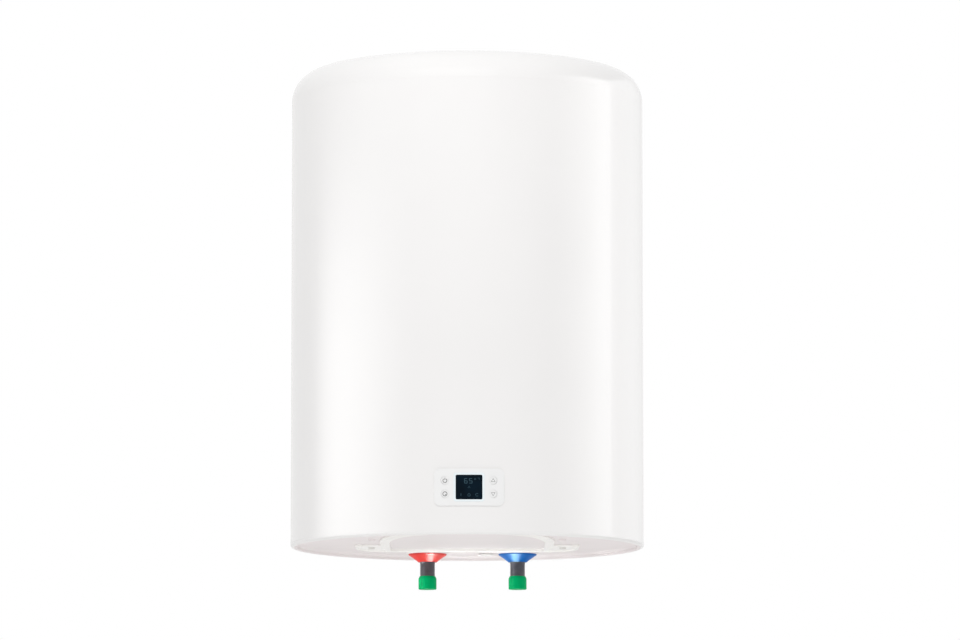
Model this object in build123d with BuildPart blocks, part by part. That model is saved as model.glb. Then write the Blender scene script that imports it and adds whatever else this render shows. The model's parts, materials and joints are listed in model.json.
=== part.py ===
from build123d import *

import os
from math import acos, degrees, sqrt

# A wall-hung electric storage water heater, in millimetres.
# +Z is up, the front faces -Y and the wall is the plane Y = 0.
# The origin is midway between the two hanging slots, on the wall plane.
# Heights are measured up from the rim of the underside, and depths forward from the body's axis.

# Body
body_r = 193.0
body_h = 526.0
shoulder_r = 33.0
crown = 2.0
sheet = 0.8
cap_wall = 2.5
seam_w = 10.0
seam_proud = 1.2
joint_gap = 0.2
slip = 0.1
spigot = 12.0

# Hanging
wall_gap = 14.5
slot_drop = 96.0
slot_spacing = 200.0
slot_length = 22.0
slot_w = 10.5
slot_edge = 17.0
bracket_h = 56.0
bracket_t = 3.0
leg_margin = 8.0
bracket_joggle = 12.0
bracket_set = 12.0
bracket_lip = 7.0
leg_spacing = 90.0
leg_w = 30.0
leg_h = 44.0
leg_t = 3.0
leg_room = 1.0
bolt_r = 4.0
bolt_spacing = 24.0
bolt_head = 5.3
bolt_across = 13.0
bolt_l = 15.0
bolt_play = 0.4
nut_h = 6.5
buffer_r = 12.0
buffer_spacing = 120.0
buffer_height = 50.0
peg_r = 3.0
peg_l = 7.0

# Underside
rim_edge = 3.0
rim_w = 7.0
rim_slope = 1.0
recess = 5.0
skirt = 16.0
rim_round = 1.0
pad_r = 23.0
pad_drop = 3.4
boss_r = 3.5
boss_drop = 2.2
boss_out = 13.0
boss_forward = 60.0

# Service cover
cover_half = 90.0
cover_margin = 10.0
cover_clear = 3.0
cover_straight = 35.0
cover_nose_r = 80.0
cover_corner = 14.0
cover_drop = 3.3
cover_t = 1.8
cover_flare = 5.0
cover_lap = 3.8
cover_lip = 1.6
ear_reach = 30.0
ear_over = 2.5
ear_front = -12.0
ear_knob_r = 4.5
ear_rib = 3.0
ear_round = 34.0
screw_out = 15.0
screw_forward = -34.0
screw_r = 1.8
screw_head_r = 3.8
screw_head = 1.8
tower_r = 5.0
tower_h = 12.0

# Tank
foam_side = 25.0
foam_over = 23.0
tank_wall = 1.8
tank_low = 104.0
dome_depth = 45.0
dome_knuckle = 28.0
dome_skirt = 10.0
foam_low = 74.0
foam_gap = 0.2

# Pipes
pipe_spacing = 100.0
pipe_shift = 6.0
pipe_back = 108.0
pipe_r = 8.33
pipe_bore = 6.0
pipe_end = -34.5
pipe_top = 95.0
pipe_shank_r = 8.0
pipe_pilot_r = 8.1
pipe_lead = 1.0
collar_r = 12.0
collar_low = 60.0
collar_high = 84.0
standpipe_gap = 23.0
standpipe_low = 70.0
standpipe_wall = 0.9
diffuser_r = 14.0
diffuser_low = 86.0
diffuser_h = 22.0
diffuser_wall = 2.0
diffuser_slit = 7.0
rosette_r = 21.2
rosette_neck_r = 11.4
rosette_low = -7.5
rosette_wall = 1.5
rosette_edge = 1.0
cap_r = 10.0
cap_top = -23.1
cap_low = -37.8
cap_floor = 2.8
cap_bevel = 0.8
cap_shoulder = 1.3

# Flange and what it carries
flange_forward = 25.0
flange_r = 56.0
flange_bore = 34.0
collar_bottom = 55.0
collar_t = 15.0
stud_r = 3.0
stud_circle = 92.0
stud_count = 6
stud_low = 43.0
gasket_t = 2.5
plate_t = 3.0
flange_nut_h = 5.0
flange_nut_across = 10.0
rod_r = 4.0
rod_bend = 8.0
rod_half = 24.0
rod_back = 12.0
rod_top = 300.0
rod_dip = 110.0
rod_low = 38.0
pin_r = 1.5
pin_l = 10.0
ferrule_r = 6.0
ferrule_low = 45.0
ferrule_h = 12.0
anode_r = 11.0
anode_l = 205.0
anode_forward = 14.0
anode_stud_r = 4.0
anode_nut_h = 5.5
well_x = 20.0
well_forward = 8.0
well_r = 4.0
well_wall = 0.9
well_low = 44.0
well_high = 200.0
probe_play = 0.2
probe_low = 40.0
cutout_size = (34.0, 26.0, 24.5)
cutout_top = 42.5
reset_r = 3.5
reset_proud = 4.0
reset_well = 3.0
reset_play = 0.15
earth_x = -30.0
earth_r = 2.5

# Compartment
board_x = -116.0
board_forward = 28.0
tray_size = (56.0, 108.0, 9.0)
tray_wall = 1.5
board_t = 1.6
board_rise = 4.0
relay_size = (19.0, 15.0, 15.0)
relay_forward = 36.0
transformer_size = (32.0, 28.0, 22.0)
transformer_forward = -28.0
block_x = 118.0
block_forward = 20.0
block_size = (24.0, 54.0, 20.0)
block_ways = 3
block_pitch = 15.0
block_screw_r = 2.4

# Control panel
panel_x = 2.0
panel_height = 49.8
panel_w = 74.0
panel_h = 39.5
panel_corner = 6.0
panel_proud = 1.2
panel_gap = 0.05
opening_w = 67.0
opening_h = 33.0
opening_corner = 3.0
window_w = 28.0
window_h = 26.0
window_corner = 1.5
frame_w = 2.2
frame_t = 0.3
window_play = 0.15
housing_play = 0.7
housing_wall = 1.5
housing_depth = 16.5
board_stand = 4.1
module_set = 0.8
module_play = 0.5
switch_size = 6.0
switch_h = 3.5
switch_stem_r = 1.75
switch_stem = 1.3
button_half_w = 25.6
button_half_h = 7.2
button_r = 4.1
button_play = 0.25
button_proud = 0.7
button_flange_r = 4.9
button_flange = 1.0
button_rest = 0.5

# Mains cable entry
entry_x = 21.0
entry_back = 150.0
entry_r = 3.5
entry_neck_r = 6.5
entry_flange_r = 8.5
entry_flange = 2.0

# Places worked out from the sizes above
axis_y = -(body_r + wall_gap)
slot_height = body_h - slot_drop
rim_z = -slot_height
bracket_l = slot_spacing + slot_length + 2 * slot_edge
bracket_flat = leg_spacing + leg_w + 2 * leg_margin
shell_low = rim_edge + joint_gap
shell_top = body_h - crown - shoulder_r
shell_high = shell_top - joint_gap
shell_in = body_r - sheet
spigot_r = shell_in - slip
floor_top = recess + cap_wall
pad_z = recess - pad_drop
cover_seat = recess - joint_gap
cover_foot = recess - cover_drop
cover_front = body_r - rim_w - rim_slope - cover_margin
cover_back = pipe_back - pad_r - cover_clear
ear_half = cover_half + ear_reach
screw_x = cover_half + screw_out
boss_x = cover_half + boss_out
tank_r = body_r - foam_side
tank_high = body_h - foam_over - dome_depth
standpipe_top = tank_high + dome_depth - standpipe_gap
plate_top = collar_bottom - gasket_t
plate_low = plate_top - plate_t
housing_back = body_r - housing_depth
board_back = housing_back + board_stand
board_face = board_back + board_t
module_front = body_r - module_set
body_axis = Axis((0, axis_y, rim_z), (0, 0, 1))


def level(height):
    """The level plane at a height above the rim, centred on the body's axis."""
    return Plane((0, axis_y, rim_z + height))


def upright(x=0.0, forward=0.0):
    """The upright plane through a vertical axis, for profiles given as (radius, height above the rim)."""
    return Plane((x, axis_y - forward, rim_z), x_dir=(1, 0, 0), z_dir=(0, -1, 0))


def panel_plane(depth):
    """The upright plane that faces forward at a depth, centred on the control panel."""
    return Plane((panel_x, axis_y - depth, rim_z + panel_height), x_dir=(1, 0, 0), z_dir=(0, -1, 0))


def rear_plane(y, height):
    """The upright plane that faces the wall, at a distance from it and a height above the rim."""
    return Plane((0, y, rim_z + height), x_dir=(-1, 0, 0), z_dir=(0, 1, 0))


def vertical(x, forward):
    """The vertical axis at a place of the plan."""
    return Axis((x, axis_y - forward, rim_z), (0, 0, 1))


def dish(radius, base, depth, knuckle, way=1):
    """Half of a dished end, from its skirt to its middle: a knuckle arc that runs into a crown arc."""
    rise = depth - knuckle
    apart = ((radius - knuckle) ** 2 + rise**2) / (2 * rise)
    lean = degrees(acos((radius - knuckle) / apart))
    CenterArc((radius - knuckle, base), knuckle, 0, way * lean)
    CenterArc((0, base + way * (rise - apart)), apart + knuckle, way * lean, way * (90 - lean))


def finish(piece, name):
    """Labels a finished piece and writes it."""
    piece.part.label = name
    export_step(piece.part, f"parts/{name}.step")


os.makedirs("parts", exist_ok=True)

# Casing wrap: rolled sheet with a folded lock seam at the back
leg_places = [(x, 0) for x in (-leg_spacing / 2, leg_spacing / 2)]
buffer_places = [(x, 0) for x in (-buffer_spacing / 2, buffer_spacing / 2)]
with BuildPart() as casing_wrap:
    with BuildSketch(level(shell_low)):
        Circle(body_r)
        with Locations((0, body_r)):
            Rectangle(seam_w, 2 * seam_proud)
        Circle(shell_in, mode=Mode.SUBTRACT)
    extrude(amount=shell_high - shell_low)
    with BuildSketch(panel_plane(body_r / 2)):
        RectangleRounded(opening_w, opening_h, opening_corner)
    extrude(amount=body_r, mode=Mode.SUBTRACT)
    with BuildSketch(rear_plane(axis_y + body_r / 2, slot_height)):
        with Locations(*leg_places):
            Rectangle(leg_w + 2 * leg_room, leg_h + 2 * leg_room)
    extrude(amount=body_r, mode=Mode.SUBTRACT)
    with BuildSketch(rear_plane(axis_y + body_r / 2, buffer_height)):
        with Locations(*buffer_places):
            Circle(peg_r + slip)
    extrude(amount=body_r, mode=Mode.SUBTRACT)
finish(casing_wrap, "casing_wrap")

# Top cap: a moulded shell with a rounded shoulder and a spigot inside the wrap
cap_in = body_r - cap_wall
with BuildPart() as top_cap:
    with BuildSketch(upright()):
        with BuildLine():
            dish(body_r, shell_top, shoulder_r + crown, shoulder_r)
            dish(cap_in, shell_top, shoulder_r + crown - cap_wall, shoulder_r - cap_wall)
            Line((0, body_h), (0, body_h - cap_wall))
            Polyline(
                (body_r, shell_top),
                (spigot_r, shell_top),
                (spigot_r, shell_top - spigot),
                (spigot_r - cap_wall, shell_top - spigot),
                (spigot_r - cap_wall, shell_top),
                (cap_in, shell_top),
            )
        make_face()
    revolve(axis=body_axis)
finish(top_cap, "top_cap")


def cover_outline(inset=0.0):
    """The service cover's D: a straight back, straight sides, two flank arcs and a nose arc. At the back,
    next to the pipes, it never reaches further than the back strip does."""
    half, nose_r = cover_half - inset, cover_nose_r - inset
    nose = cover_front - cover_nose_r
    rise = nose - cover_straight
    flank_r = (half**2 + rise**2 - nose_r**2) / (2 * (half - nose_r))
    centre_x = half - flank_r
    turn = degrees(acos(-centre_x / sqrt(centre_x**2 + rise**2)))
    back = cover_back - max(inset, -ear_over)
    with BuildSketch(mode=Mode.PRIVATE) as outline:
        with BuildLine():
            CenterArc((centre_x, -cover_straight), flank_r, 0, -turn)
            CenterArc((-centre_x, -cover_straight), flank_r, 180, turn)
            CenterArc((0, -nose), nose_r, -turn, 2 * turn - 180)
            Polyline((half, -cover_straight), (half, back), (-half, back), (-half, -cover_straight))
        make_face()
        fillet(outline.vertices().group_by(Axis.Y)[-1], max(cover_corner - inset, 1.0))
    return outline.sketch


def ear_outline(inset=0.0):
    """The wider strip at the cover's back, whose ends turn forward and carry the screws."""
    with BuildSketch(mode=Mode.PRIVATE) as outline:
        with BuildLine():
            Polyline(
                (ear_half - inset, -ear_front),
                (ear_half - inset, cover_back - inset),
                (-ear_half + inset, cover_back - inset),
                (-ear_half + inset, -ear_front),
                close=True,
            )
        make_face()
        fillet(outline.vertices().group_by(Axis.Y)[-1], ear_round - inset)
    return outline.sketch


pipe_places = [(pipe_shift + side * pipe_spacing / 2, pipe_back) for side in (-1, 1)]
screw_places = [(-screw_x, -screw_forward), (screw_x, -screw_forward)]

# Bottom cap: a recessed floor inside a rounded rim, with pads for the pipes and towers for the screws
with BuildPart() as bottom_cap:
    with BuildSketch(upright()):
        with BuildLine():
            Polyline(
                (0, recess),
                (0, floor_top),
                (spigot_r - cap_wall, floor_top),
                (spigot_r - cap_wall, skirt),
                (spigot_r, skirt),
                (spigot_r, rim_edge),
                (body_r, rim_edge),
            )
            CenterArc((body_r - rim_edge, rim_edge), rim_edge, 0, -90)
            Polyline(
                (body_r - rim_edge, 0),
                (body_r - rim_w, 0),
                (body_r - rim_w - rim_slope, recess),
                (0, recess),
            )
        make_face()
    revolve(axis=body_axis)
    rim_foot = bottom_cap.edges().filter_by(GeomType.CIRCLE)
    fillet(
        rim_foot.filter_by(lambda e: abs(e.radius - (body_r - rim_w)) < slip and e.center().Z < rim_z + slip),
        rim_round,
    )
    with BuildSketch(level(pad_z)):
        with Locations(*pipe_places):
            Circle(pad_r)
    extrude(amount=pad_drop)
    with BuildSketch(level(recess - boss_drop)):
        with Locations((-boss_x, -boss_forward), (boss_x, -boss_forward)):
            Circle(boss_r)
    extrude(amount=boss_drop)
    with BuildSketch(level(floor_top)):
        with Locations(*screw_places):
            Circle(tower_r)
    extrude(amount=tower_h)
    with BuildSketch(level(0)):
        with Locations(*pipe_places):
            Circle(pipe_r + 2 * slip)
        with Locations((entry_x, entry_back)):
            Circle(entry_neck_r)
        with Locations(*screw_places):
            Circle(screw_r)
    extrude(amount=floor_top + tower_h, mode=Mode.SUBTRACT)
    with BuildSketch(level(0)):
        add(cover_outline(cover_lap))
    extrude(amount=floor_top + tower_h, mode=Mode.SUBTRACT)
finish(bottom_cap, "bottom_cap")

# Service cover: a D-shaped frame with a sloping wall round a set-in floor, and a back strip whose ends carry
# knobs and screws
with BuildPart() as service_cover:
    with BuildSketch(level(cover_seat)):
        add(cover_outline(-cover_flare))
        add(ear_outline(-ear_over))
    extrude(amount=-cover_t)
    with BuildSketch(level(cover_foot)) as wall_foot:
        add(cover_outline())
    with BuildSketch(level(cover_seat)) as wall_head:
        add(cover_outline(-cover_flare))
    loft()
    with BuildSketch(level(cover_seat)):
        add(ear_outline(-ear_over))
        add(ear_outline(ear_rib - ear_over), mode=Mode.SUBTRACT)
    extrude(amount=-(cover_seat - cover_foot))
    with BuildSketch(level(cover_seat)):
        with Locations((-ear_half + ear_rib / 2, -ear_front), (ear_half - ear_rib / 2, -ear_front)):
            Circle(ear_knob_r)
    extrude(amount=-(cover_seat - cover_foot))
    with BuildSketch(level(cover_seat)):
        add(cover_outline(cover_lap + joint_gap))
    extrude(amount=cover_t + joint_gap)
    with BuildSketch(level(cover_foot)):
        add(cover_outline(cover_lap + joint_gap + cover_lip))
    extrude(amount=recess - cover_foot, mode=Mode.SUBTRACT)
    with BuildSketch(level(cover_foot)):
        with Locations(*screw_places):
            Circle(screw_r + 2 * slip)
    extrude(amount=cover_drop, mode=Mode.SUBTRACT)
finish(service_cover, "service_cover")

# Service cover screws
with BuildPart() as cover_screws:
    with BuildSketch(level(cover_seat - cover_t - screw_head)):
        with Locations(*screw_places):
            Circle(screw_head_r)
    extrude(amount=screw_head)
    fillet(cover_screws.edges().group_by(Axis.Z)[0], screw_head / 2)
    with BuildSketch(level(cover_seat - cover_t)):
        with Locations(*screw_places):
            Circle(screw_r - slip)
    extrude(amount=cover_t + cap_wall + tower_h / 2)
finish(cover_screws, "cover_screws")


def tank_end(base, way, skirt_way):
    """The wall of a dished tank end, for a revolve: the outer line, the inner line and the two ends."""
    inner_r = tank_r - tank_wall
    edge = base + skirt_way * dome_skirt
    dish(tank_r, base, dome_depth, dome_knuckle, way)
    dish(inner_r, base, dome_depth - tank_wall, dome_knuckle - tank_wall, way)
    Line((0, base + way * dome_depth), (0, base + way * (dome_depth - tank_wall)))
    Polyline((tank_r, base), (tank_r, edge), (inner_r, edge), (inner_r, base))


# Inner tank: a rolled barrel between two dished ends
with BuildPart() as tank_barrel:
    with BuildSketch(level(tank_low + dome_skirt)):
        Circle(tank_r)
        Circle(tank_r - tank_wall, mode=Mode.SUBTRACT)
    extrude(amount=tank_high - tank_low - 2 * dome_skirt)
finish(tank_barrel, "tank_barrel")

with BuildPart() as tank_top_dome:
    with BuildSketch(upright()):
        with BuildLine():
            tank_end(tank_high, 1, -1)
        make_face()
    revolve(axis=body_axis)
finish(tank_top_dome, "tank_top_dome")

with BuildPart() as tank_bottom_dome:
    with BuildSketch(upright()):
        with BuildLine():
            tank_end(tank_low, -1, 1)
        make_face()
    revolve(axis=body_axis)
    with BuildSketch(level(tank_low - dome_depth)):
        with Locations(*pipe_places):
            Circle(collar_r + slip / 2)
        with Locations((0, -flange_forward)):
            Circle(flange_r + slip / 2)
    extrude(amount=dome_depth, mode=Mode.SUBTRACT)
finish(tank_bottom_dome, "tank_bottom_dome")

# Bracket legs: channels welded to the tank, which pass through the insulation and the wrap
leg_face = -bracket_set
leg_reach = body_r
with BuildPart() as bracket_legs:
    with BuildSketch(rear_plane(leg_face, slot_height)):
        with Locations(*leg_places):
            Rectangle(leg_w, leg_h)
    extrude(amount=-leg_reach)
    with BuildSketch(rear_plane(leg_face - leg_t, slot_height)):
        with Locations(*leg_places):
            Rectangle(leg_w, leg_h - 2 * leg_t)
    extrude(amount=-leg_reach, mode=Mode.SUBTRACT)
    with BuildSketch(rear_plane(leg_face, slot_height)):
        with Locations(*leg_places):
            with GridLocations(1, bolt_spacing, 1, 2):
                Circle(bolt_r + bolt_play)
    extrude(amount=-leg_t, mode=Mode.SUBTRACT)
    with BuildSketch(level(slot_height - leg_h)):
        Circle(tank_r)
    extrude(amount=2 * leg_h, mode=Mode.SUBTRACT)
    with BuildSketch(level(slot_height - leg_h)):
        with Locations((0, -body_r)):
            Rectangle(2 * body_r, 2 * body_r)
    extrude(amount=2 * leg_h, mode=Mode.SUBTRACT)
finish(bracket_legs, "bracket_legs")

# Insulation: foam between the tank and the casing
foam_r = shell_in - foam_gap
foam_top_r = spigot_r - cap_wall - foam_gap
foam_shy = cap_in - foam_top_r
foam_shoulder = shoulder_r - cap_wall - foam_shy
with BuildPart() as insulation_foam:
    with BuildSketch(upright()):
        with BuildLine():
            dish(foam_top_r, shell_top, foam_shoulder + crown, foam_shoulder)
            Polyline(
                (foam_top_r, shell_top),
                (foam_top_r, shell_top - spigot - foam_gap),
                (foam_r, shell_top - spigot - foam_gap),
                (foam_r, foam_low),
                (0, foam_low),
                (0, body_h - cap_wall - foam_shy),
            )
        make_face()
    revolve(axis=body_axis)
    with BuildSketch(upright()):
        with BuildLine():
            dish(tank_r + slip, tank_high, dome_depth + slip, dome_knuckle + slip)
            dish(tank_r + slip, tank_low, dome_depth + slip, dome_knuckle + slip, -1)
            Line((tank_r + slip, tank_high), (tank_r + slip, tank_low))
            Line((0, tank_high + dome_depth + slip), (0, tank_low - dome_depth - slip))
        make_face()
    revolve(axis=body_axis, mode=Mode.SUBTRACT)
    with BuildSketch(rear_plane(axis_y + body_r / 2, slot_height)):
        with Locations(*leg_places):
            Rectangle(leg_w + leg_room, leg_h + leg_room)
    extrude(amount=body_r, mode=Mode.SUBTRACT)
    with BuildSketch(level(foam_low)):
        with Locations(*pipe_places):
            Circle(collar_r + slip)
    extrude(amount=collar_high - foam_low, mode=Mode.SUBTRACT)
finish(insulation_foam, "insulation_foam")

# Hanging bracket: a joggled plate with stiffening lips, slotted for the wall bolts
mid_y = -bracket_t / 2
set_y = -bracket_set + bracket_t / 2
with BuildPart() as hanging_bracket:
    with BuildSketch(Plane.XY.offset(-bracket_h / 2)):
        with BuildLine() as bracket_line:
            FilletPolyline(
                (-bracket_l / 2, mid_y),
                (-bracket_flat / 2 - bracket_joggle, mid_y),
                (-bracket_flat / 2, set_y),
                (bracket_flat / 2, set_y),
                (bracket_flat / 2 + bracket_joggle, mid_y),
                (bracket_l / 2, mid_y),
                radius=bracket_t,
            )
        trace(bracket_line.line, line_width=bracket_t)
    extrude(amount=bracket_h)
    with BuildSketch(rear_plane(-bracket_set, slot_height)):
        with GridLocations(1, bracket_h - bracket_t, 1, 2):
            Rectangle(bracket_flat - 2 * bracket_joggle, bracket_t)
    extrude(amount=bracket_t + bracket_lip)
    with BuildSketch(rear_plane(0, slot_height)):
        with GridLocations(slot_spacing, 1, 2, 1):
            SlotOverall(slot_length, slot_w)
    extrude(amount=-bracket_t, mode=Mode.SUBTRACT)
    with BuildSketch(rear_plane(-bracket_set, slot_height)):
        with Locations(*leg_places):
            with GridLocations(1, bolt_spacing, 1, 2):
                Circle(bolt_r + bolt_play)
    extrude(amount=bracket_t, mode=Mode.SUBTRACT)
finish(hanging_bracket, "hanging_bracket")

# Bracket bolts, and the nuts inside the legs
bolt_face = -bracket_set + bracket_t
bolt_places = [(x, side * bolt_spacing / 2) for x, _ in leg_places for side in (-1, 1)]
with BuildPart() as bracket_bolts:
    with BuildSketch(rear_plane(bolt_face, slot_height)):
        with Locations(*bolt_places):
            RegularPolygon(bolt_across / 2, 6, major_radius=False)
    extrude(amount=bolt_head)
    with BuildSketch(rear_plane(bolt_face, slot_height)):
        with Locations(*bolt_places):
            Circle(bolt_r)
    extrude(amount=-bolt_l)
finish(bracket_bolts, "bracket_bolts")

with BuildPart() as bracket_nuts:
    with BuildSketch(rear_plane(leg_face - leg_t, slot_height)):
        with Locations(*bolt_places):
            RegularPolygon(bolt_across / 2, 6, major_radius=False)
            Circle(bolt_r + slip, mode=Mode.SUBTRACT)
    extrude(amount=-nut_h)
finish(bracket_nuts, "bracket_nuts")

# Lower wall buffers: rubber stops with pegs through the wrap
with BuildPart() as lower_wall_buffers:
    with BuildSketch(rear_plane(0, buffer_height)):
        with Locations(*buffer_places):
            Circle(buffer_r)
    extrude(amount=-body_r / 3)
    with BuildSketch(level(buffer_height - 2 * buffer_r)):
        Circle(body_r)
    extrude(amount=4 * buffer_r, mode=Mode.SUBTRACT)
    peg_face = axis_y + sqrt(body_r**2 - (buffer_spacing / 2) ** 2)
    with BuildSketch(rear_plane(peg_face + peg_l / 2, buffer_height)):
        with Locations(*buffer_places):
            Circle(peg_r)
    extrude(amount=-1.5 * peg_l)
finish(lower_wall_buffers, "lower_wall_buffers")

# Pipes: each nipple is turned about its own axis, with a collar that is welded into the tank
hot_x, cold_x = (x for x, _ in pipe_places)


def nipple(x, name):
    """A pipe nipple: the visible plain stretch, the end inside the thread cap and the weld collar."""
    with BuildPart() as piece:
        with BuildSketch(upright(x, -pipe_back)):
            with BuildLine():
                Polyline(
                    (pipe_bore, pipe_end),
                    (pipe_pilot_r - pipe_lead, pipe_end),
                    (pipe_pilot_r, pipe_end + pipe_lead),
                    (pipe_pilot_r, cap_top + slip),
                    (pipe_r, cap_top + slip),
                    (pipe_r, rosette_low - 2 * slip),
                    (pipe_shank_r, rosette_low - 2 * slip),
                    (pipe_shank_r, collar_low),
                    (collar_r, collar_low),
                    (collar_r, collar_high),
                    (pipe_shank_r, collar_high),
                    (pipe_shank_r, pipe_top),
                    (pipe_bore, pipe_top),
                    close=True,
                )
            make_face()
        revolve(axis=vertical(x, -pipe_back))
    finish(piece, name)


def rosette(x, name):
    """A cone-shaped cover ring, hollow, on its pad of the underside."""
    bore = pipe_r + 2 * slip
    with BuildPart() as piece:
        with BuildSketch(upright(x, -pipe_back)):
            with BuildLine():
                Polyline(
                    (bore, rosette_low),
                    (rosette_neck_r - rosette_edge, rosette_low),
                    (rosette_neck_r, rosette_low + rosette_edge),
                    (rosette_r - rosette_edge / 2, pad_z - rosette_edge),
                    (rosette_r, pad_z - rosette_edge / 2),
                    (rosette_r, pad_z),
                    (rosette_r - rosette_wall, pad_z),
                    (bore + rosette_wall, rosette_low + 2 * rosette_wall),
                    (bore, rosette_low + 2 * rosette_wall),
                    close=True,
                )
            make_face()
        revolve(axis=vertical(x, -pipe_back))
    finish(piece, name)


def thread_cap(x, name):
    """A push-on cap over the pipe's end, open at its top."""
    bore = pipe_pilot_r + slip
    with BuildPart() as piece:
        with BuildSketch(upright(x, -pipe_back)):
            with BuildLine():
                Polyline(
                    (0, cap_low),
                    (cap_r - cap_bevel, cap_low),
                    (cap_r, cap_low + cap_bevel),
                    (cap_r, cap_top - 2 * cap_shoulder),
                    (cap_r - cap_shoulder, cap_top),
                    (bore, cap_top),
                    (bore, cap_low + cap_floor),
                    (0, cap_low + cap_floor),
                    close=True,
                )
            make_face()
        revolve(axis=vertical(x, -pipe_back))
    finish(piece, name)


for side, x in (("hot", hot_x), ("cold", cold_x)):
    nipple(x, f"{side}_nipple")
    rosette(x, f"{side}_rosette")
    thread_cap(x, f"{side}_thread_cap")

# Hot standpipe: draws from the top of the tank
with BuildPart() as hot_standpipe:
    with BuildSketch(level(standpipe_low)):
        with Locations((hot_x, pipe_back)):
            Circle(pipe_bore - slip)
            Circle(pipe_bore - slip - standpipe_wall, mode=Mode.SUBTRACT)
    extrude(amount=standpipe_top - standpipe_low)
finish(hot_standpipe, "hot_standpipe")

# Cold diffuser: a capped ring with four windows, which spreads the cold water sideways
with BuildPart() as cold_diffuser:
    with BuildSketch(level(diffuser_low)):
        with Locations((cold_x, pipe_back)):
            Circle(diffuser_r)
    extrude(amount=diffuser_h)
    with BuildSketch(level(diffuser_low)):
        with Locations((cold_x, pipe_back)):
            Circle(pipe_shank_r + slip)
    extrude(amount=diffuser_h - diffuser_wall, mode=Mode.SUBTRACT)
    with BuildSketch(level(pipe_top + slip)):
        with Locations((cold_x, pipe_back)):
            Circle(diffuser_r - diffuser_wall)
    extrude(amount=diffuser_low + diffuser_h - diffuser_wall - pipe_top - slip, mode=Mode.SUBTRACT)
    with BuildSketch(level(pipe_top + diffuser_wall)):
        with Locations((cold_x, pipe_back)):
            with PolarLocations(0, 2):
                Rectangle(3 * diffuser_r, diffuser_slit, rotation=45)
                Rectangle(diffuser_slit, 3 * diffuser_r, rotation=45)
    extrude(amount=diffuser_low + diffuser_h - 2 * diffuser_wall - pipe_top, mode=Mode.SUBTRACT)
finish(cold_diffuser, "cold_diffuser")

# Flange collar: a ring welded into the tank's bottom, with its studs
flange_place = (0, -flange_forward)
with BuildPart() as flange_collar:
    with BuildSketch(level(collar_bottom)):
        with Locations(flange_place):
            Circle(flange_r)
            Circle(flange_bore, mode=Mode.SUBTRACT)
    extrude(amount=collar_t)
    with BuildSketch(level(stud_low)):
        with Locations(flange_place):
            with PolarLocations(stud_circle / 2, stud_count, start_angle=30):
                Circle(stud_r)
    extrude(amount=collar_bottom - stud_low)
finish(flange_collar, "flange_collar")

with BuildPart() as flange_gasket:
    with BuildSketch(level(plate_top)):
        with Locations(flange_place):
            Circle(flange_r)
            Circle(flange_bore, mode=Mode.SUBTRACT)
            with PolarLocations(stud_circle / 2, stud_count, start_angle=30):
                Circle(stud_r + 2 * slip, mode=Mode.SUBTRACT)
    extrude(amount=gasket_t)
finish(flange_gasket, "flange_gasket")

rod_places = [(side * rod_half, rod_back - flange_forward) for side in (-1, 1)]
anode_place = (0, -flange_forward - anode_forward)
well_places = [(side * well_x, -flange_forward - well_forward) for side in (-1, 1)]
earth_place = (earth_x, -flange_forward)
with BuildPart() as flange_plate:
    with BuildSketch(level(plate_low)):
        with Locations(flange_place):
            Circle(flange_r)
            with PolarLocations(stud_circle / 2, stud_count, start_angle=30):
                Circle(stud_r + 2 * slip, mode=Mode.SUBTRACT)
        with Locations(*rod_places):
            Circle(ferrule_r + slip / 2, mode=Mode.SUBTRACT)
        with Locations(anode_place):
            Circle(anode_stud_r + slip, mode=Mode.SUBTRACT)
        with Locations(*well_places):
            Circle(well_r + slip / 2, mode=Mode.SUBTRACT)
    extrude(amount=plate_t)
finish(flange_plate, "flange_plate")

with BuildPart() as flange_nuts:
    with BuildSketch(level(plate_low)):
        with Locations(flange_place):
            with PolarLocations(stud_circle / 2, stud_count, start_angle=30):
                RegularPolygon(flange_nut_across / 2, 6, major_radius=False)
                Circle(stud_r + slip, mode=Mode.SUBTRACT)
    extrude(amount=-flange_nut_h)
finish(flange_nuts, "flange_nuts")

# Heating element: one sheathed rod bent three times, with a cold pin at each end
inner_x = rod_half - 2 * rod_bend
rod_forward = flange_forward - rod_back
with BuildPart() as heating_element:
    with BuildLine(upright(0, rod_forward)) as rod_line:
        Line((-rod_half, rod_low), (-rod_half, rod_top - rod_bend))
        CenterArc((-rod_half + rod_bend, rod_top - rod_bend), rod_bend, 180, -180)
        Line((-inner_x, rod_top - rod_bend), (-inner_x, rod_dip + inner_x))
        CenterArc((0, rod_dip + inner_x), inner_x, 180, 180)
        Line((inner_x, rod_dip + inner_x), (inner_x, rod_top - rod_bend))
        CenterArc((rod_half - rod_bend, rod_top - rod_bend), rod_bend, 180, -180)
        Line((rod_half, rod_top - rod_bend), (rod_half, rod_low))
    with BuildSketch(Plane(origin=rod_line.line @ 0, z_dir=rod_line.line % 0)):
        Circle(rod_r)
    sweep(path=rod_line.line)
    with BuildSketch(level(rod_low - pin_l)):
        with Locations(*rod_places):
            Circle(pin_r)
    extrude(amount=pin_l)
finish(heating_element, "heating_element")

with BuildPart() as element_ferrules:
    with BuildSketch(level(ferrule_low)):
        with Locations(*rod_places):
            Circle(ferrule_r)
            Circle(rod_r + slip / 2, mode=Mode.SUBTRACT)
    extrude(amount=ferrule_h)
finish(element_ferrules, "element_ferrules")

# Anode: a magnesium rod on a stud through the plate, and its nut
with BuildPart() as anode_rod:
    with BuildSketch(level(plate_top)):
        with Locations(anode_place):
            Circle(anode_r)
    extrude(amount=anode_l)
    with BuildSketch(level(stud_low)):
        with Locations(anode_place):
            Circle(anode_stud_r)
    extrude(amount=plate_top - stud_low)
finish(anode_rod, "anode_rod")

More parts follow.
